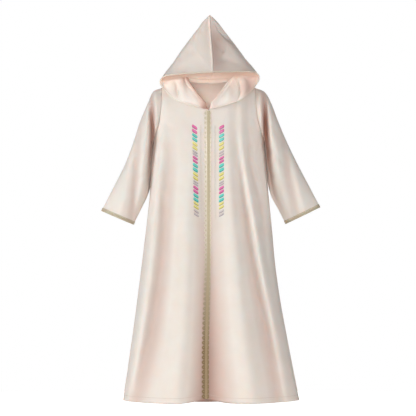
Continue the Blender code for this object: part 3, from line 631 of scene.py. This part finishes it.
# Where the hood lies on the chest and shoulders it is kept a few millimetres off the cloth.
def clearOfBody(grid, at):
    x, y, z = grid[..., 0], grid[..., 1], grid[..., 2]
    settled = np.clip(at - 2, 0, 1)
    least = hood["standOffChest"] + (hood["offChest"] - hood["standOffChest"]) * settled
    drop = shoulderLine(x) - z
    onChest = (drop > 0) & (y < 0) & (at > 0)
    chest = -bodyDepth(x, np.minimum(z, shoulderLine(x)), -1) - least * np.clip(at, 0, 1)
    y = np.where(onChest, np.minimum(y, chest), y)
    lift = hood["offShoulder"]
    onShoulder = (np.abs(x) > body["neckHalf"]) & (drop > -lift) & (y >= 0) & (at > 0)
    z = np.where(onShoulder, shoulderLine(x) + lift, z)
    return np.stack([x, y, z], axis=-1)


# Meshes.


# Four-sided faces between the neighbouring points of a grid of point numbers.
def facesOf(index, around=False, closed=False):
    here, following = index[:, :-1], index[:, 1:]
    if around:
        here, following = index, np.roll(index, -1, axis=1)
    corners = (here[:-1], following[:-1], following[1:], here[1:])
    if closed:
        corners = (here, following, np.roll(following, -1, axis=0), np.roll(here, -1, axis=0))
    return np.stack(corners, axis=-1).reshape(-1, 4)


def smoothMesh(name, points, faces, uv):
    mesh = bpy.data.meshes.new(name)
    mesh.from_pydata(points, [], faces)
    corners = np.zeros(len(mesh.loops), int)
    mesh.loops.foreach_get("vertex_index", corners)
    mesh.uv_layers.new(name="cloth").data.foreach_set("uv", uv[corners].ravel())
    mesh.shade_smooth()
    return mesh


# A grid as a mesh, with a UV map that measures metres along the cloth both ways.
def gridMesh(name, grid, around=False, flip=False):
    faces = facesOf(np.arange(grid.size // 3).reshape(grid.shape[:2]), around)
    faces = faces[:, ::-1] if flip else faces
    uv = np.stack([runOf(grid), runOf(np.swapaxes(grid, 0, 1)).T], axis=-1)
    return smoothMesh(name, grid.reshape(-1, 3), faces.tolist(), uv.reshape(-1, 2))


def facesInward(grid, normals):  # whether the grid's faces would point inwards
    a, b = grid[:-1, :-1], grid[1:, 1:]
    c, d = grid[:-1, 1:], grid[1:, :-1]
    face = np.cross(b - a, d - c)
    return np.sum(face * normals[:-1, :-1]) < 0


def addPiece(name, mesh, material, node):
    piece = bpy.data.objects.new(name, mesh)
    bpy.context.scene.collection.objects.link(piece)
    mesh.materials.append(material)
    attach(piece, "root")
    if node:
        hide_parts(node)
    return piece


clothWall = 0.0009  # the thickness of the crepe


# A panel is one layer, which Solidify gives its thickness. The painted shade of each point sets
# how far the crepe's colour is painted darker and warmer there.
def addCloth(name, node, grid, normals, paintedShade, around=False):
    mesh = gridMesh(name, grid, around, facesInward(grid, normals))
    depth = paintedShade.astype(np.float32)
    mesh.attributes.new("paintedShade", "FLOAT", "POINT").data.foreach_set("value", depth.ravel())
    piece = addPiece(name, mesh, clothMaterial, node)
    wall = piece.modifiers.new("clothThickness", "SOLIDIFY")
    wall.thickness = clothWall
    wall.offset = -1
    wall.use_even_offset = False
    wall.use_quality_normals = True
    mesh.materials.append(insideMaterial)
    wall.material_offset = 1


# Materials.


def linear(hexColour):  # an sRGB hex colour as linear red, green, blue and alpha
    parts = [int(hexColour[i : i + 2], 16) / 255 for i in (1, 3, 5)]
    return (*(c / 12.92 if c <= 0.04045 else ((c + 0.055) / 1.055) ** 2.4 for c in parts), 1.0)


def addNode(material, kind, settings=None, links=None):  # a node with its settings and links
    node = material.node_tree.nodes.new("ShaderNode" + kind)
    for key, value in (settings or {}).items():
        if isinstance(key, str) and hasattr(node, key):
            setattr(node, key, value)
        else:
            node.inputs[key].default_value = value
    for key, source in (links or {}).items():
        material.node_tree.links.new(source, node.inputs[key])
    return node


def shaderSockets(material):
    return material.node_tree.nodes["Principled BSDF"].inputs


def newMaterial(name, constants):  # with constants on its shader's sockets
    material = bpy.data.materials.new(name)
    material.use_nodes = True
    for key, value in constants.items():
        shaderSockets(material)[key].default_value = value
    return material


def linkShader(material, links):
    for key, source in links.items():
        material.node_tree.links.new(source, shaderSockets(material)[key])


def clothPlace(material):  # the place on the cloth in millimetres, from its UV map
    uv = addNode(material, "UVMap", {"uv_map": "cloth"})
    scale = {"operation": "SCALE", "Scale": 1000.0}
    return addNode(material, "VectorMath", scale, {0: uv.outputs[0]}).outputs[0]


def objectHeight(material):
    place = addNode(material, "TexCoord")
    return addNode(material, "SeparateXYZ", None, {0: place.outputs["Object"]}).outputs[2]


crepe = {
    "light": "#f0e4dc",
    "deep": "#eee1d8",
    "reverseLight": "#f0e4dc",
    "reverseDeep": "#ecdfd6",
    # the darker, warmer colour of the painted shade in the folds
    "paintedShadeColour": "#a6735f",
    "grain": 1.6,
    "mottle": 60.0,
    "glow": 0.15,  # a painted glow: emission for the daylight that comes through the cloth at the neck and hood
    "paintedGlowColour": "#f0dacd",
}


# Polyester crepe, woven from hard-twisted yarn: the twist gives a soft matt surface with a fine
# pebbled grain. The real grain is about 0.6 mm, drawn here at 1.6 mm so that it can show. Deep
# in a fold the colour is painted darker and warmer: painted shade for the folds.
def crepeMaterial(name, light, deep):
    material = newMaterial(name, {
        "Roughness": 0.78,
        "Sheen Weight": 0.12,
        "Sheen Roughness": 0.4,
        "Specular IOR Level": 0.3,
        "Subsurface Weight": 0.5,
        "Subsurface Radius": (1.0, 0.62, 0.5),
        "Subsurface Scale": 0.0018,
    })
    place = clothPlace(material)
    wide = {"Scale": 1 / crepe["mottle"], "Detail": 2.0}
    mottle = addNode(material, "TexNoise", wide, {0: place})
    fine = {"Scale": 1 / crepe["grain"], "Detail": 3.0, "Roughness": 0.6}
    grain = addNode(material, "TexNoise", fine, {0: place})
    ramp = addNode(material, "ValToRGB", None, {0: mottle.outputs[0]})
    for end, position, colour in zip(ramp.color_ramp.elements, (0.35, 0.65), (deep, light)):
        end.position = position
        end.color = linear(colour)
    relief = {"Strength": 0.25, "Distance": 0.0004}
    bump = addNode(material, "Bump", relief, {"Height": grain.outputs[0]})
    # Painted shade: each point's painted shade mixes the colour towards the darker fold colour.
    paintedShade = addNode(material, "Attribute", {"attribute_name": "paintedShade"})
    fold = {"data_type": "RGBA", 7: linear(crepe["paintedShadeColour"])}
    shade = addNode(material, "Mix", fold, {0: paintedShade.outputs["Fac"], 6: ramp.outputs[0]})
    linkShader(material, {"Base Color": shade.outputs[2], "Normal": bump.outputs[0]})
    return material


# The reverse of the same crepe, a deeper blush, with a painted glow: an emission for the daylight
# that comes through the thin cloth, seen in the hood and the neck as a warm glow down the yoke.
def reverseMaterial():
    material = crepeMaterial("polyesterCrepeReverse", crepe["reverseLight"], crepe["reverseDeep"])
    # Painted glow: emission, strongest at the neck and hood, fading down the yoke.
    fade = {"From Min": -0.16, "From Max": -0.05, "To Max": crepe["glow"]}
    glow = addNode(material, "MapRange", fade, {"Value": objectHeight(material)})
    shaderSockets(material)["Emission Color"].default_value = linear(crepe["paintedGlowColour"])
    linkShader(material, {"Emission Strength": glow.outputs[0]})
    return material


braidThread = {
    "cord": ("#d2c4a6", "#c6b08e"),  # above and below the change of shade
    "ground": ("#e4d8c7", "#9c8462"),
    "loop": ("#eee4d4", "#ab9370"),
    "fromHeight": -0.45,
    "toHeight": -0.80,
    "yarn": 0.35,
}


# Braid plied from metallised film wound on a cotton core: the film gives a soft gilt gleam,
# and the twist breaks it into short highlights. Its colour turns browner and darker towards the
# bottom.
def braidMaterial(name, part):
    material = newMaterial(name, {"Metallic": 0.15, "Roughness": 0.45})
    change = {"From Min": braidThread["fromHeight"], "From Max": braidThread["toHeight"]}
    down = addNode(material, "MapRange", change, {"Value": objectHeight(material)})
    above, below = (linear(colour) for colour in braidThread[part])
    colours = {"data_type": "RGBA", 6: above, 7: below}
    shade = addNode(material, "Mix", colours, {0: down.outputs[0]})
    fine = {"Scale": 1 / braidThread["yarn"], "Detail": 1.0}
    yarn = addNode(material, "TexNoise", fine, {0: clothPlace(material)})
    relief = {"Strength": 0.3, "Distance": 0.0002}
    bump = addNode(material, "Bump", relief, {"Height": yarn.outputs[0]})
    linkShader(material, {"Base Color": shade.outputs[2], "Normal": bump.outputs[0]})
    return material


# Rayon embroidery floss laid side by side as satin stitch: each filament is glossy, so a stitch
# shines along its length. A painted shade darkens its lower edge, where it turns down into the
# cloth.
# Real strands are 0.4 mm apart, drawn at 0.9 mm so that they show.
def flossMaterial(name, bright, deep):
    material = newMaterial(name, {"Roughness": 0.34})
    uv = addNode(material, "UVMap", {"uv_map": "cloth"})
    across = addNode(material, "SeparateXYZ", None, {0: uv.outputs[0]})
    edge = {"From Min": 0.0006, "From Max": 0.0042}
    upwards = addNode(material, "MapRange", edge, {"Value": across.outputs[0]})
    # Painted shade: the deep colour on the stroke's lower edge, the bright colour across the
    # rest.
    colours = {"data_type": "RGBA", 6: linear(deep), 7: linear(bright)}
    shade = addNode(material, "Mix", colours, {0: upwards.outputs[0]})
    bands = {"bands_direction": "X", "Scale": 1000 / 0.9 / 20, "Distortion": 0.4}
    strands = addNode(material, "TexWave", bands, {0: uv.outputs[0]})
    relief = {"Strength": 0.5, "Distance": 0.0003}
    bump = addNode(material, "Bump", relief, {"Height": strands.outputs[1]})
    linkShader(material, {"Base Color": shade.outputs[2], "Normal": bump.outputs[0]})
    return material


clothMaterial = crepeMaterial("polyesterCrepe", crepe["light"], crepe["deep"])
insideMaterial = reverseMaterial()
cordMaterial = braidMaterial("metallisedCord", "cord")
groundMaterial = braidMaterial("wovenBraidGround", "ground")
loopMaterial = braidMaterial("viscoseLoopCord", "loop")
print("stage: materials made")

# Cloth panels.


# A panel of the body with its small creases, which reach to the side seam, and its normals.
def bodyShell(grid, creases, facing):
    outward = np.array([0, facing, 0])
    grid = creased(grid, normalsOf(grid, outward), creases, facing, -0.01 * facing)
    return grid, normalsOf(grid, outward)


fronts, sleeveShells, hoodShells = {}, {}, {}
for side, label in sides:
    shell = fronts[side] = bodyShell(frontGrid(side), bodyCreases["front"], -1)
    addCloth("front" + label, "front_" + label.lower(), *shell, foldPaintedShade(shell[0], -1))
backShell = bodyShell(backGrid(), bodyCreases["back"], 1)
addCloth("backPanel", "back", *backShell, foldPaintedShade(backShell[0], 1))
for side, label in sides:
    grid, paintedShade = sleeveGrid(side)
    outward = grid - grid.mean(axis=1, keepdims=True)
    shell = sleeveShells[side] = (grid, normalsOf(grid, outward, True))
    addCloth("sleeve" + label, "sleeve_" + label.lower(), *shell, paintedShade, True)
for side, label in sides:
    grid, paintedShade, ridgeRow, firstRow = hoodGrid(side)
    shell = hoodShells[side] = (grid, hoodNormals(grid, side))
    addCloth("hood" + label, "hood_" + label.lower(), *shell, paintedShade)
print("stage: cloth panels made")

# Braids.


# A tube along a path, ready for addJoined: a circle across each point of the path, in the plane
# of the given normal and the side direction. A pitch gives it the relief of a two-strand cord,
# whose two lobes turn half round in each pitch.
def tube(path, normals, radius, count, pitch=None, closed=False):
    if closed:
        along = unit(np.roll(path, -1, axis=0) - np.roll(path, 1, axis=0))
    else:
        along = unit(np.gradient(path, axis=0))
    across = unit(np.cross(along, normals))
    up = np.cross(across, along)
    turn = np.arange(count) * 2 * np.pi / count
    size = np.full((len(path), count), radius)
    if pitch:
        size *= 0.80 + 0.20 * np.abs(np.cos(turn - np.pi * runOf(path)[:, None] / pitch))
    ring = across[:, None] * np.cos(turn)[:, None] + up[:, None] * np.sin(turn)[:, None]
    return path[:, None] + ring * size[..., None], True, closed


def evenly(path, step, closed=False):  # the path again, with its points a fixed step apart
    if closed:
        path = np.concatenate([path, path[:1]])
    run = runOf(path)
    at = np.linspace(0, run[-1], max(int(run[-1] / step), 2) + 1)
    at = at[:-1] if closed else at
    return np.stack([np.interp(at, run, path[:, k]) for k in range(3)], axis=-1)


# Several grids as one piece. A tube is closed round its second direction, and has a cap at each
# end unless its path is closed too.
def addJoined(name, grids, material, node=None):
    points, faces, uvs, offset = [], [], [], 0
    for grid, around, closed in grids:
        rows, count = grid.shape[:2]
        index = np.arange(rows * count).reshape(rows, count) + offset
        faces += facesOf(index, around, closed).tolist()
        if around and not closed:
            faces += [index[0][::-1].tolist(), index[-1].tolist()]
        width = np.linalg.norm(np.diff(grid, axis=1), axis=-1).mean()
        u, v = np.meshgrid(np.arange(count) * width, runOf(grid[:, 0]))
        uvs.append(np.stack([u, v], axis=-1).reshape(-1, 2))
        points.append(grid.reshape(-1, 3))
        offset += rows * count
    mesh = smoothMesh(name, np.concatenate(points), faces, np.concatenate(uvs))
    addPiece(name, mesh, material, node)


# Points raised from the cloth of the fronts, and its normals there, which come from the slopes
# of the body's depth across and up.
def offFront(x, z, lift):
    h = 0.0005
    slopeX = (bodyDepth(x + h, z, -1) - bodyDepth(x - h, z, -1)) / (2 * h)
    slopeZ = (bodyDepth(x, z + h, -1) - bodyDepth(x, z - h, -1)) / (2 * h)
    normals = unit(np.stack([-slopeX, -np.ones_like(slopeX), -slopeZ], axis=-1))
    return onBody(x, z, -1) + normals * lift, normals


frontBraid = {
    "topDrop": 0.0035,
    "hemGap": 0.003,
    "cord": 0.0010,
    "cordPitch": 0.0042,
    "cordAt": (0.0011, 0.0033),
    "ground": 0.0004,  # how far the woven ground is raised, and how far it keeps from the closing
    "loopPitch": 0.0145,
    "loopCord": 0.0009,
    "loopFrom": 0.0046,
    "loopReach": {-1: 0.0084, 1: 0.0032},
    "knot": {-1: 0.0014, 1: 0.0009},
    "knotAt": 0.42,  # of the loops' reach
    "loopPoints": 14,  # for each loop
    "cordPoints": 1750,
}


# The edge of one front's scallops, up the closing: half sine waves out from the cords and back.
def scallops(side):
    low = body["hem"] + body["hemLiftCentre"] + frontBraid["hemGap"]
    high = body["vPoint"] - frontBraid["topDrop"]
    count = round((high - low) / frontBraid["loopPitch"])
    phase = np.linspace(0, count * np.pi, count * frontBraid["loopPoints"] + 1)
    reach = frontBraid["loopFrom"] + frontBraid["loopReach"][side] * np.abs(np.sin(phase)) ** 0.7
    return reach, low + (high - low) * phase / phase[-1], count


# Half a ball's outline turned round: a sphere of the given radius about each centre.
def knotGrids(centres, radius):
    turn = np.linspace(0, np.pi, 6)[:, None]
    ring = np.arange(8) * np.pi / 4
    parts = (np.sin(turn) * np.cos(ring), np.sin(turn) * np.sin(ring), np.cos(turn) + 0 * ring)
    return [(centre + np.stack(parts, axis=-1) * radius, True, False) for centre in centres]


# On each front's edge: a woven ground with a scalloped side, two twisted cords side by side
# with a knot in each scallop, and a round cord that follows the scallops.
def addFrontBraid(side, label):
    reach, up, count = scallops(side)
    low, high = up[0], up[-1]
    inner = frontBraid["ground"]
    x = side * (inner + (reach[:, None] - inner) * np.linspace(0, 1, 7))
    grid, _ = offFront(x, np.broadcast_to(up[:, None], x.shape), frontBraid["ground"])
    ground = [(grid[::side], False, False)]
    addJoined("frontBraidGround" + label, ground, groundMaterial, None)
    grids = []
    z = np.linspace(low, high, frontBraid["cordPoints"])
    for out in frontBraid["cordAt"]:
        path, normals = offFront(np.full_like(z, side * out), z, frontBraid["cord"] * 1.1)
        grids.append(tube(path, normals, frontBraid["cord"], 10, side * frontBraid["cordPitch"]))
    knot = frontBraid["knot"][side]
    z = low + (high - low) * (np.arange(count) + 0.5) / count
    out = frontBraid["loopFrom"] + frontBraid["knotAt"] * frontBraid["loopReach"][side]
    x = np.full_like(z, side * out)
    grids += knotGrids(offFront(x, z, knot * 0.6)[0], knot)
    node = "front_braid_" + label.lower()
    addJoined("frontBraid" + label, grids, cordMaterial, node)
    path, normals = offFront(side * reach, up, frontBraid["loopCord"] * 1.2)
    loops = [tube(path, normals, frontBraid["loopCord"], 6)]
    addJoined("frontLoops" + label, loops, loopMaterial, None)


for side, label in sides:
    addFrontBraid(side, label)

edgeBraid = {
    "cord": 0.0009,
    "cordPitch": 0.0040,
    "step": 0.0006,  # from ring to ring along a cord
    "cuffCords": (0.0012, 0.0036, 0.0060),  # from the cuff's edge
    "hoodCords": (0.0006, 0.0030),  # from the hood's free edge
    "picot": 0.0007,
    "picotPitch": 0.0052,
    "picotFrom": 0.0072,
    "picotReach": 0.0030,
}


# Points on a grid a fixed distance along the cloth from its first column.
def insetPath(grid, distance):
    run = runOf(grid)
    k = np.clip(np.sum(run <= distance, axis=1) - 1, 0, grid.shape[1] - 2)
    row = np.arange(len(grid))
    part = (distance - run[row, k]) / (run[row, k + 1] - run[row, k])
    return grid[row, k] + (grid[row, k + 1] - grid[row, k]) * part[:, None]


# Round each cuff: three twisted cords, and above them a row of picots, which are half sine
# waves up the sleeve.
def addCuffBraid(side, label):
    fromEnd, outward = (np.swapaxes(part[::-1], 0, 1) for part in sleeveShells[side])
    cord, picot, step = (edgeBraid[name] for name in ("cord", "picot", "step"))
    grids = []
    for distance in edgeBraid["cuffCords"]:
        path = evenly(insetPath(fromEnd, distance) + outward[:, 2] * cord * 0.9, step, True)
        away = unit(path - path.mean(axis=0))
        grids.append(tube(path, away, cord, 9, edgeBraid["cordPitch"], True))
    low = edgeBraid["picotFrom"]
    inner = evenly(insetPath(fromEnd, low) + outward[:, 3] * picot, step, True)
    high = low + edgeBraid["picotReach"]
    outer = evenly(insetPath(fromEnd, high) + outward[:, 4] * picot, step, True)
    wave = np.abs(np.sin(np.pi * runOf(inner) / edgeBraid["picotPitch"])) ** 0.7
    aside = unit(spread(outer, len(inner)) - inner)
    path = inner + aside * (edgeBraid["picotReach"] * wave)[:, None]
    grids.append(tube(path, unit(path - path.mean(axis=0)), picot, 6, closed=True))
    addJoined("cuffBraid" + label, grids, cordMaterial, "cuff_braid_" + label.lower())


def addHoodBraid(side, label):  # two twisted cords along the hood's free edge
    edge, outward = (part[firstRow : ridgeRow + 1] for part in hoodShells[side])
    cord, step = edgeBraid["cord"], edgeBraid["step"]
    grids = []
    for distance in edgeBraid["hoodCords"]:
        inset = insetPath(edge, distance)
        path = evenly(inset + outward[:, 1] * cord * 0.9, step)
        above = evenly(inset + outward[:, 1] * 0.003, step)
        away = unit(spread(above, len(path)) - path)
        grids.append(tube(path, away, cord, 9, edgeBraid["cordPitch"]))
    addJoined("hoodBraid" + label, grids, loopMaterial, "hood_braid_" + label.lower())


for side, label in sides:
    addCuffBraid(side, label)
    addHoodBraid(side, label)
print("stage: braids made")

# Seams.

seams = {
    "thread": 0.0007,
    "lift": 0.0002,
    "step": 0.0035,
    "hemStitch": 0.0004,
    "hemAbove": 0.014,
    "colour": "#d9c6bb",
}


# Polyester sewing thread, spun from short fibres: matt, and a shade deeper than the cloth.
def threadMaterial():
    colour = linear(seams["colour"])
    return newMaterial("spunPolyesterThread", {"Base Color": colour, "Roughness": 0.8})


# Each seam is a thin round bead along the line where two panels meet: a circle along their
# shared edge. The hems have a finer bead, a fixed height above the cloth's lower edge.
def addSeams():
    lines = []
    for side, _ in sides:
        shell, outward = fronts[side]
        rows = body["skirtRows"] + 1
        lines.append((shell[:rows, -1], outward[:rows, -1] + (side, 0, 0)))
        lines.append((shell[-1], outward[-1] + (0, 0, 1)))
        lines.append([np.concatenate([part[1], part[1, :1]]) for part in sleeveShells[side]])
    shell, outward = hoodShells[1]
    lines.append((shell[:, -1], outward[:, -1] + (0, 1, 0)))
    lines.append((shell[ridgeRow + 2 :, 0], outward[ridgeRow + 2 :, 0] + (0, -1, 0.5)))
    grids = []
    for path, away in lines:
        path = evenly(path + unit(away) * seams["lift"], seams["step"])
        grids.append(tube(path, spread(unit(away), len(path)), seams["thread"], 6))
    thread = threadMaterial()
    addJoined("seams", grids, thread)
    grids = []
    for shell, outward in (*fronts.values(), backShell):
        row = int(np.argmin(np.abs(shell[:, 0, 2] - shell[0, 0, 2] - seams["hemAbove"])))
        path = shell[row] + outward[row] * seams["hemStitch"] * 0.3
        grids.append(tube(path, outward[row], seams["hemStitch"], 5))
    addJoined("hemStitches", grids, thread)


addSeams()
print("stage: seams made")

# Embroidery.

embroidery = {
    "barLength": {-1: 0.0160, 1: 0.0156},
    "barShare": 0.42,  # of the height of a block of two strokes
    "slope": {-1: -0.62, 1: 0.52},  # rise over run: the strokes fall towards the closing
    "place": {-1: (-0.0415, -0.0362), 1: (0.0390, 0.0383)},  # at the top and at the bottom
    "run": 0.25,  # the height between those two places
    "height": 0.0017,
    "sunk": 0.15,  # the share of the height that lies in the cloth
    "colours": {
        "Pink": ("#ea7fb2", "#a04a72"),  # along a stroke, and its painted shade on its lower edge
        "Teal": ("#74d6c9", "#3f8f86"),
        "Yellow": ("#efe394", "#b5a550"),
        "Silver": ("#d9cdc9", "#a8949a"),
    },
    "blocks": columns("colour z high", (
        (0, -137.7, 25),
        (1, -162.9, 23.4),
        (2, -187.8, 24),
        (3, -209.4, 16),
        (0, -228.6, 20),
        (1, -252.3, 25.6),
        (2, -277.8, 24),
        (3, -298.5, 14),
        (0, -318, 22.2),
        (1, -342, 24),
        (2, -364.2, 21.6),
        (3, -386.9, 19.5),
    )),
}


# Each stroke is a slanted bar of satin stitch: a sheared rectangle with rounded ends, and
# raised as half an ellipse across its width. Two strokes of each colour follow each other.
def addEmbroidery():
    u, w = np.meshgrid(np.linspace(-1, 1, 19), np.linspace(-1, 1, 11), indexing="ij")
    taper = (1 - np.abs(u) ** 5) ** 0.5
    lift = embroidery["height"] * (np.sqrt(np.maximum(1 - w**2, 0)) * taper - embroidery["sunk"])
    blocks = embroidery["blocks"]
    for k, (name, paintedShades) in enumerate(embroidery["colours"].items()):
        grids = []
        for side, _ in sides:
            start, end = embroidery["place"][side]
            along = u * embroidery["barLength"][side] / 2
            for block in np.flatnonzero(blocks["colour"] == k):
                middle, high = blocks["z"][block], blocks["high"][block]
                x = start + (end - start) * (blocks["z"][0] - middle) / embroidery["run"] + along
                thick = w * taper * embroidery["barShare"] * high / 2
                for stroke in (0.25, -0.25):  # a quarter of the block above and below its middle
                    z = middle + stroke * high + embroidery["slope"][side] * along + thick
                    grids.append((offFront(x, z, lift[..., None])[0][::side], False, False))
        addJoined("embroidery" + name, grids, flossMaterial("rayonFloss" + name, *paintedShades))


addEmbroidery()

chain = {
    "top": -0.126,
    "bottom": -0.400,
    "pitch": 0.0052,
    "wide": 0.0036,
    "loopHalf": 0.62,  # half a loop's height, as a share of the pitch
    "cord": 0.00045,
    "place": {-1: -0.0243, 1: 0.0195},
    # the thread's colour, and the painted shade on part of each cord's round
    "colour": ("#f6eee6", "#ece0d6"),
}


# A row of chain stitch each side of the closing: rounded loops, each starting inside the last.
def addChainStitch():
    turn = np.arange(12) * 2 * np.pi / 12
    lift = chain["cord"] * (0.8 + 0.5 * np.cos(turn))[:, None]
    high = chain["loopHalf"] * chain["pitch"]
    grids = []
    for side, _ in sides:
        x = chain["place"][side] + chain["wide"] / 2 * np.sin(turn) * (1 + 0.25 * np.cos(turn))
        for low in np.arange(chain["bottom"], chain["top"], chain["pitch"]):
            path, normals = offFront(x, low + high * np.cos(turn), lift)
            grids.append(tube(path, normals, chain["cord"], 5, closed=True))
    addJoined("chainStitch", grids, flossMaterial("rayonFlossTonal", *chain["colour"]))


addChainStitch()
print("stage: embroidery made")

# Light, floor and camera.

view = {
    "distance": 11.0,
    "height": -0.372,
    "across": -0.0015,
    "width": 1.248,
    "floor": -1.03,
}
camera = bpy.data.objects.new("camera", bpy.data.cameras.new("camera"))
camera.data.sensor_width = 36
camera.data.lens = 36 * view["distance"] / view["width"]
camera.data.clip_end = 60
camera.location = (view["across"], -view["distance"], view["height"])
camera.rotation_euler = (math.pi / 2, 0, 0)
bpy.context.scene.collection.objects.link(camera)
bpy.context.scene.camera = camera


def addLight(name, place, aim, size, power, colour):
    light = bpy.data.lights.new(name, "AREA")
    light.shape = "SQUARE"
    light.size = size
    light.energy = power
    light.color = colour
    lamp = bpy.data.objects.new(name, light)
    lamp.location = place
    direction = np.array(aim) - np.array(place)
    yaw = math.atan2(direction[0], -direction[1])
    pitch = math.acos(-direction[2] / np.linalg.norm(direction))
    lamp.rotation_euler = (pitch, 0, yaw + math.pi)
    bpy.context.scene.collection.objects.link(lamp)


addLight("keyLight", (-4.6, -2.2, 1.1), (0, 0, -0.4), 1.6, 135, (0.93, 0.98, 1.0))
addLight("frontLight", (-0.4, -6.5, 0.2), (0, 0, -0.3), 1.6, 215, (0.94, 0.98, 1.0))
addLight("fillLight", (4.9, -2.4, 0.6), (0, 0, -0.4), 1.6, 74, (0.95, 0.98, 1.0))
addLight("backLight", (0.6, 5.0, 1.2), (0, 0, -0.2), 1.5, 120, (1.0, 0.98, 0.96))


# A soft white room: white wherever the camera sees it, and a dimmer, warmer light from it.
def addRoom(strength, colour):
    world = bpy.data.worlds.new("softWhite")
    world.use_nodes = True
    path = addNode(world, "LightPath")
    seen = addNode(world, "Background", {"Strength": 1.0, "Color": (1, 1, 1, 1)})
    lit = world.node_tree.nodes["Background"]
    lit.inputs["Color"].default_value = linear(colour)
    lit.inputs["Strength"].default_value = strength
    either = {0: path.outputs["Is Camera Ray"], 1: lit.outputs[0], 2: seen.outputs[0]}
    both = addNode(world, "MixShader", None, either)
    world.node_tree.links.new(both.outputs[0], world.node_tree.nodes["World Output"].inputs[0])
    bpy.context.scene.world = world


# The floor is a level disc, as rings of points round its middle.
def addFloor():
    turn = np.arange(96) * 2 * np.pi / 96
    radius = np.array([1e-4, 1.0, 2.2])[:, None]
    level = np.full((3, 96), view["floor"])
    grid = np.stack([radius * np.cos(turn), radius * np.sin(turn), level], axis=-1)
    white = {"Base Color": linear("#fbfaf8"), "Roughness": 0.9, "Emission Color": (1, 1, 1, 1)}
    material = newMaterial("paleFloor", white)
    path = addNode(material, "LightPath")
    share = {"operation": "MULTIPLY", 1: 0.7}
    glow = addNode(material, "Math", share, {0: path.outputs["Is Camera Ray"]})
    linkShader(material, {"Emission Strength": glow.outputs[0]})
    mesh = gridMesh("floor", grid, True)
    mesh.materials.append(material)
    floor = bpy.data.objects.new("floor", mesh)
    bpy.context.scene.collection.objects.link(floor)


addRoom(0.11, "#fff0ea")
addFloor()
bpy.context.scene.view_settings.view_transform = "Standard"
bpy.context.scene.view_settings.gamma = 0.86  # a little more contrast, as in a catalogue picture
print("stage: light, floor and camera made")
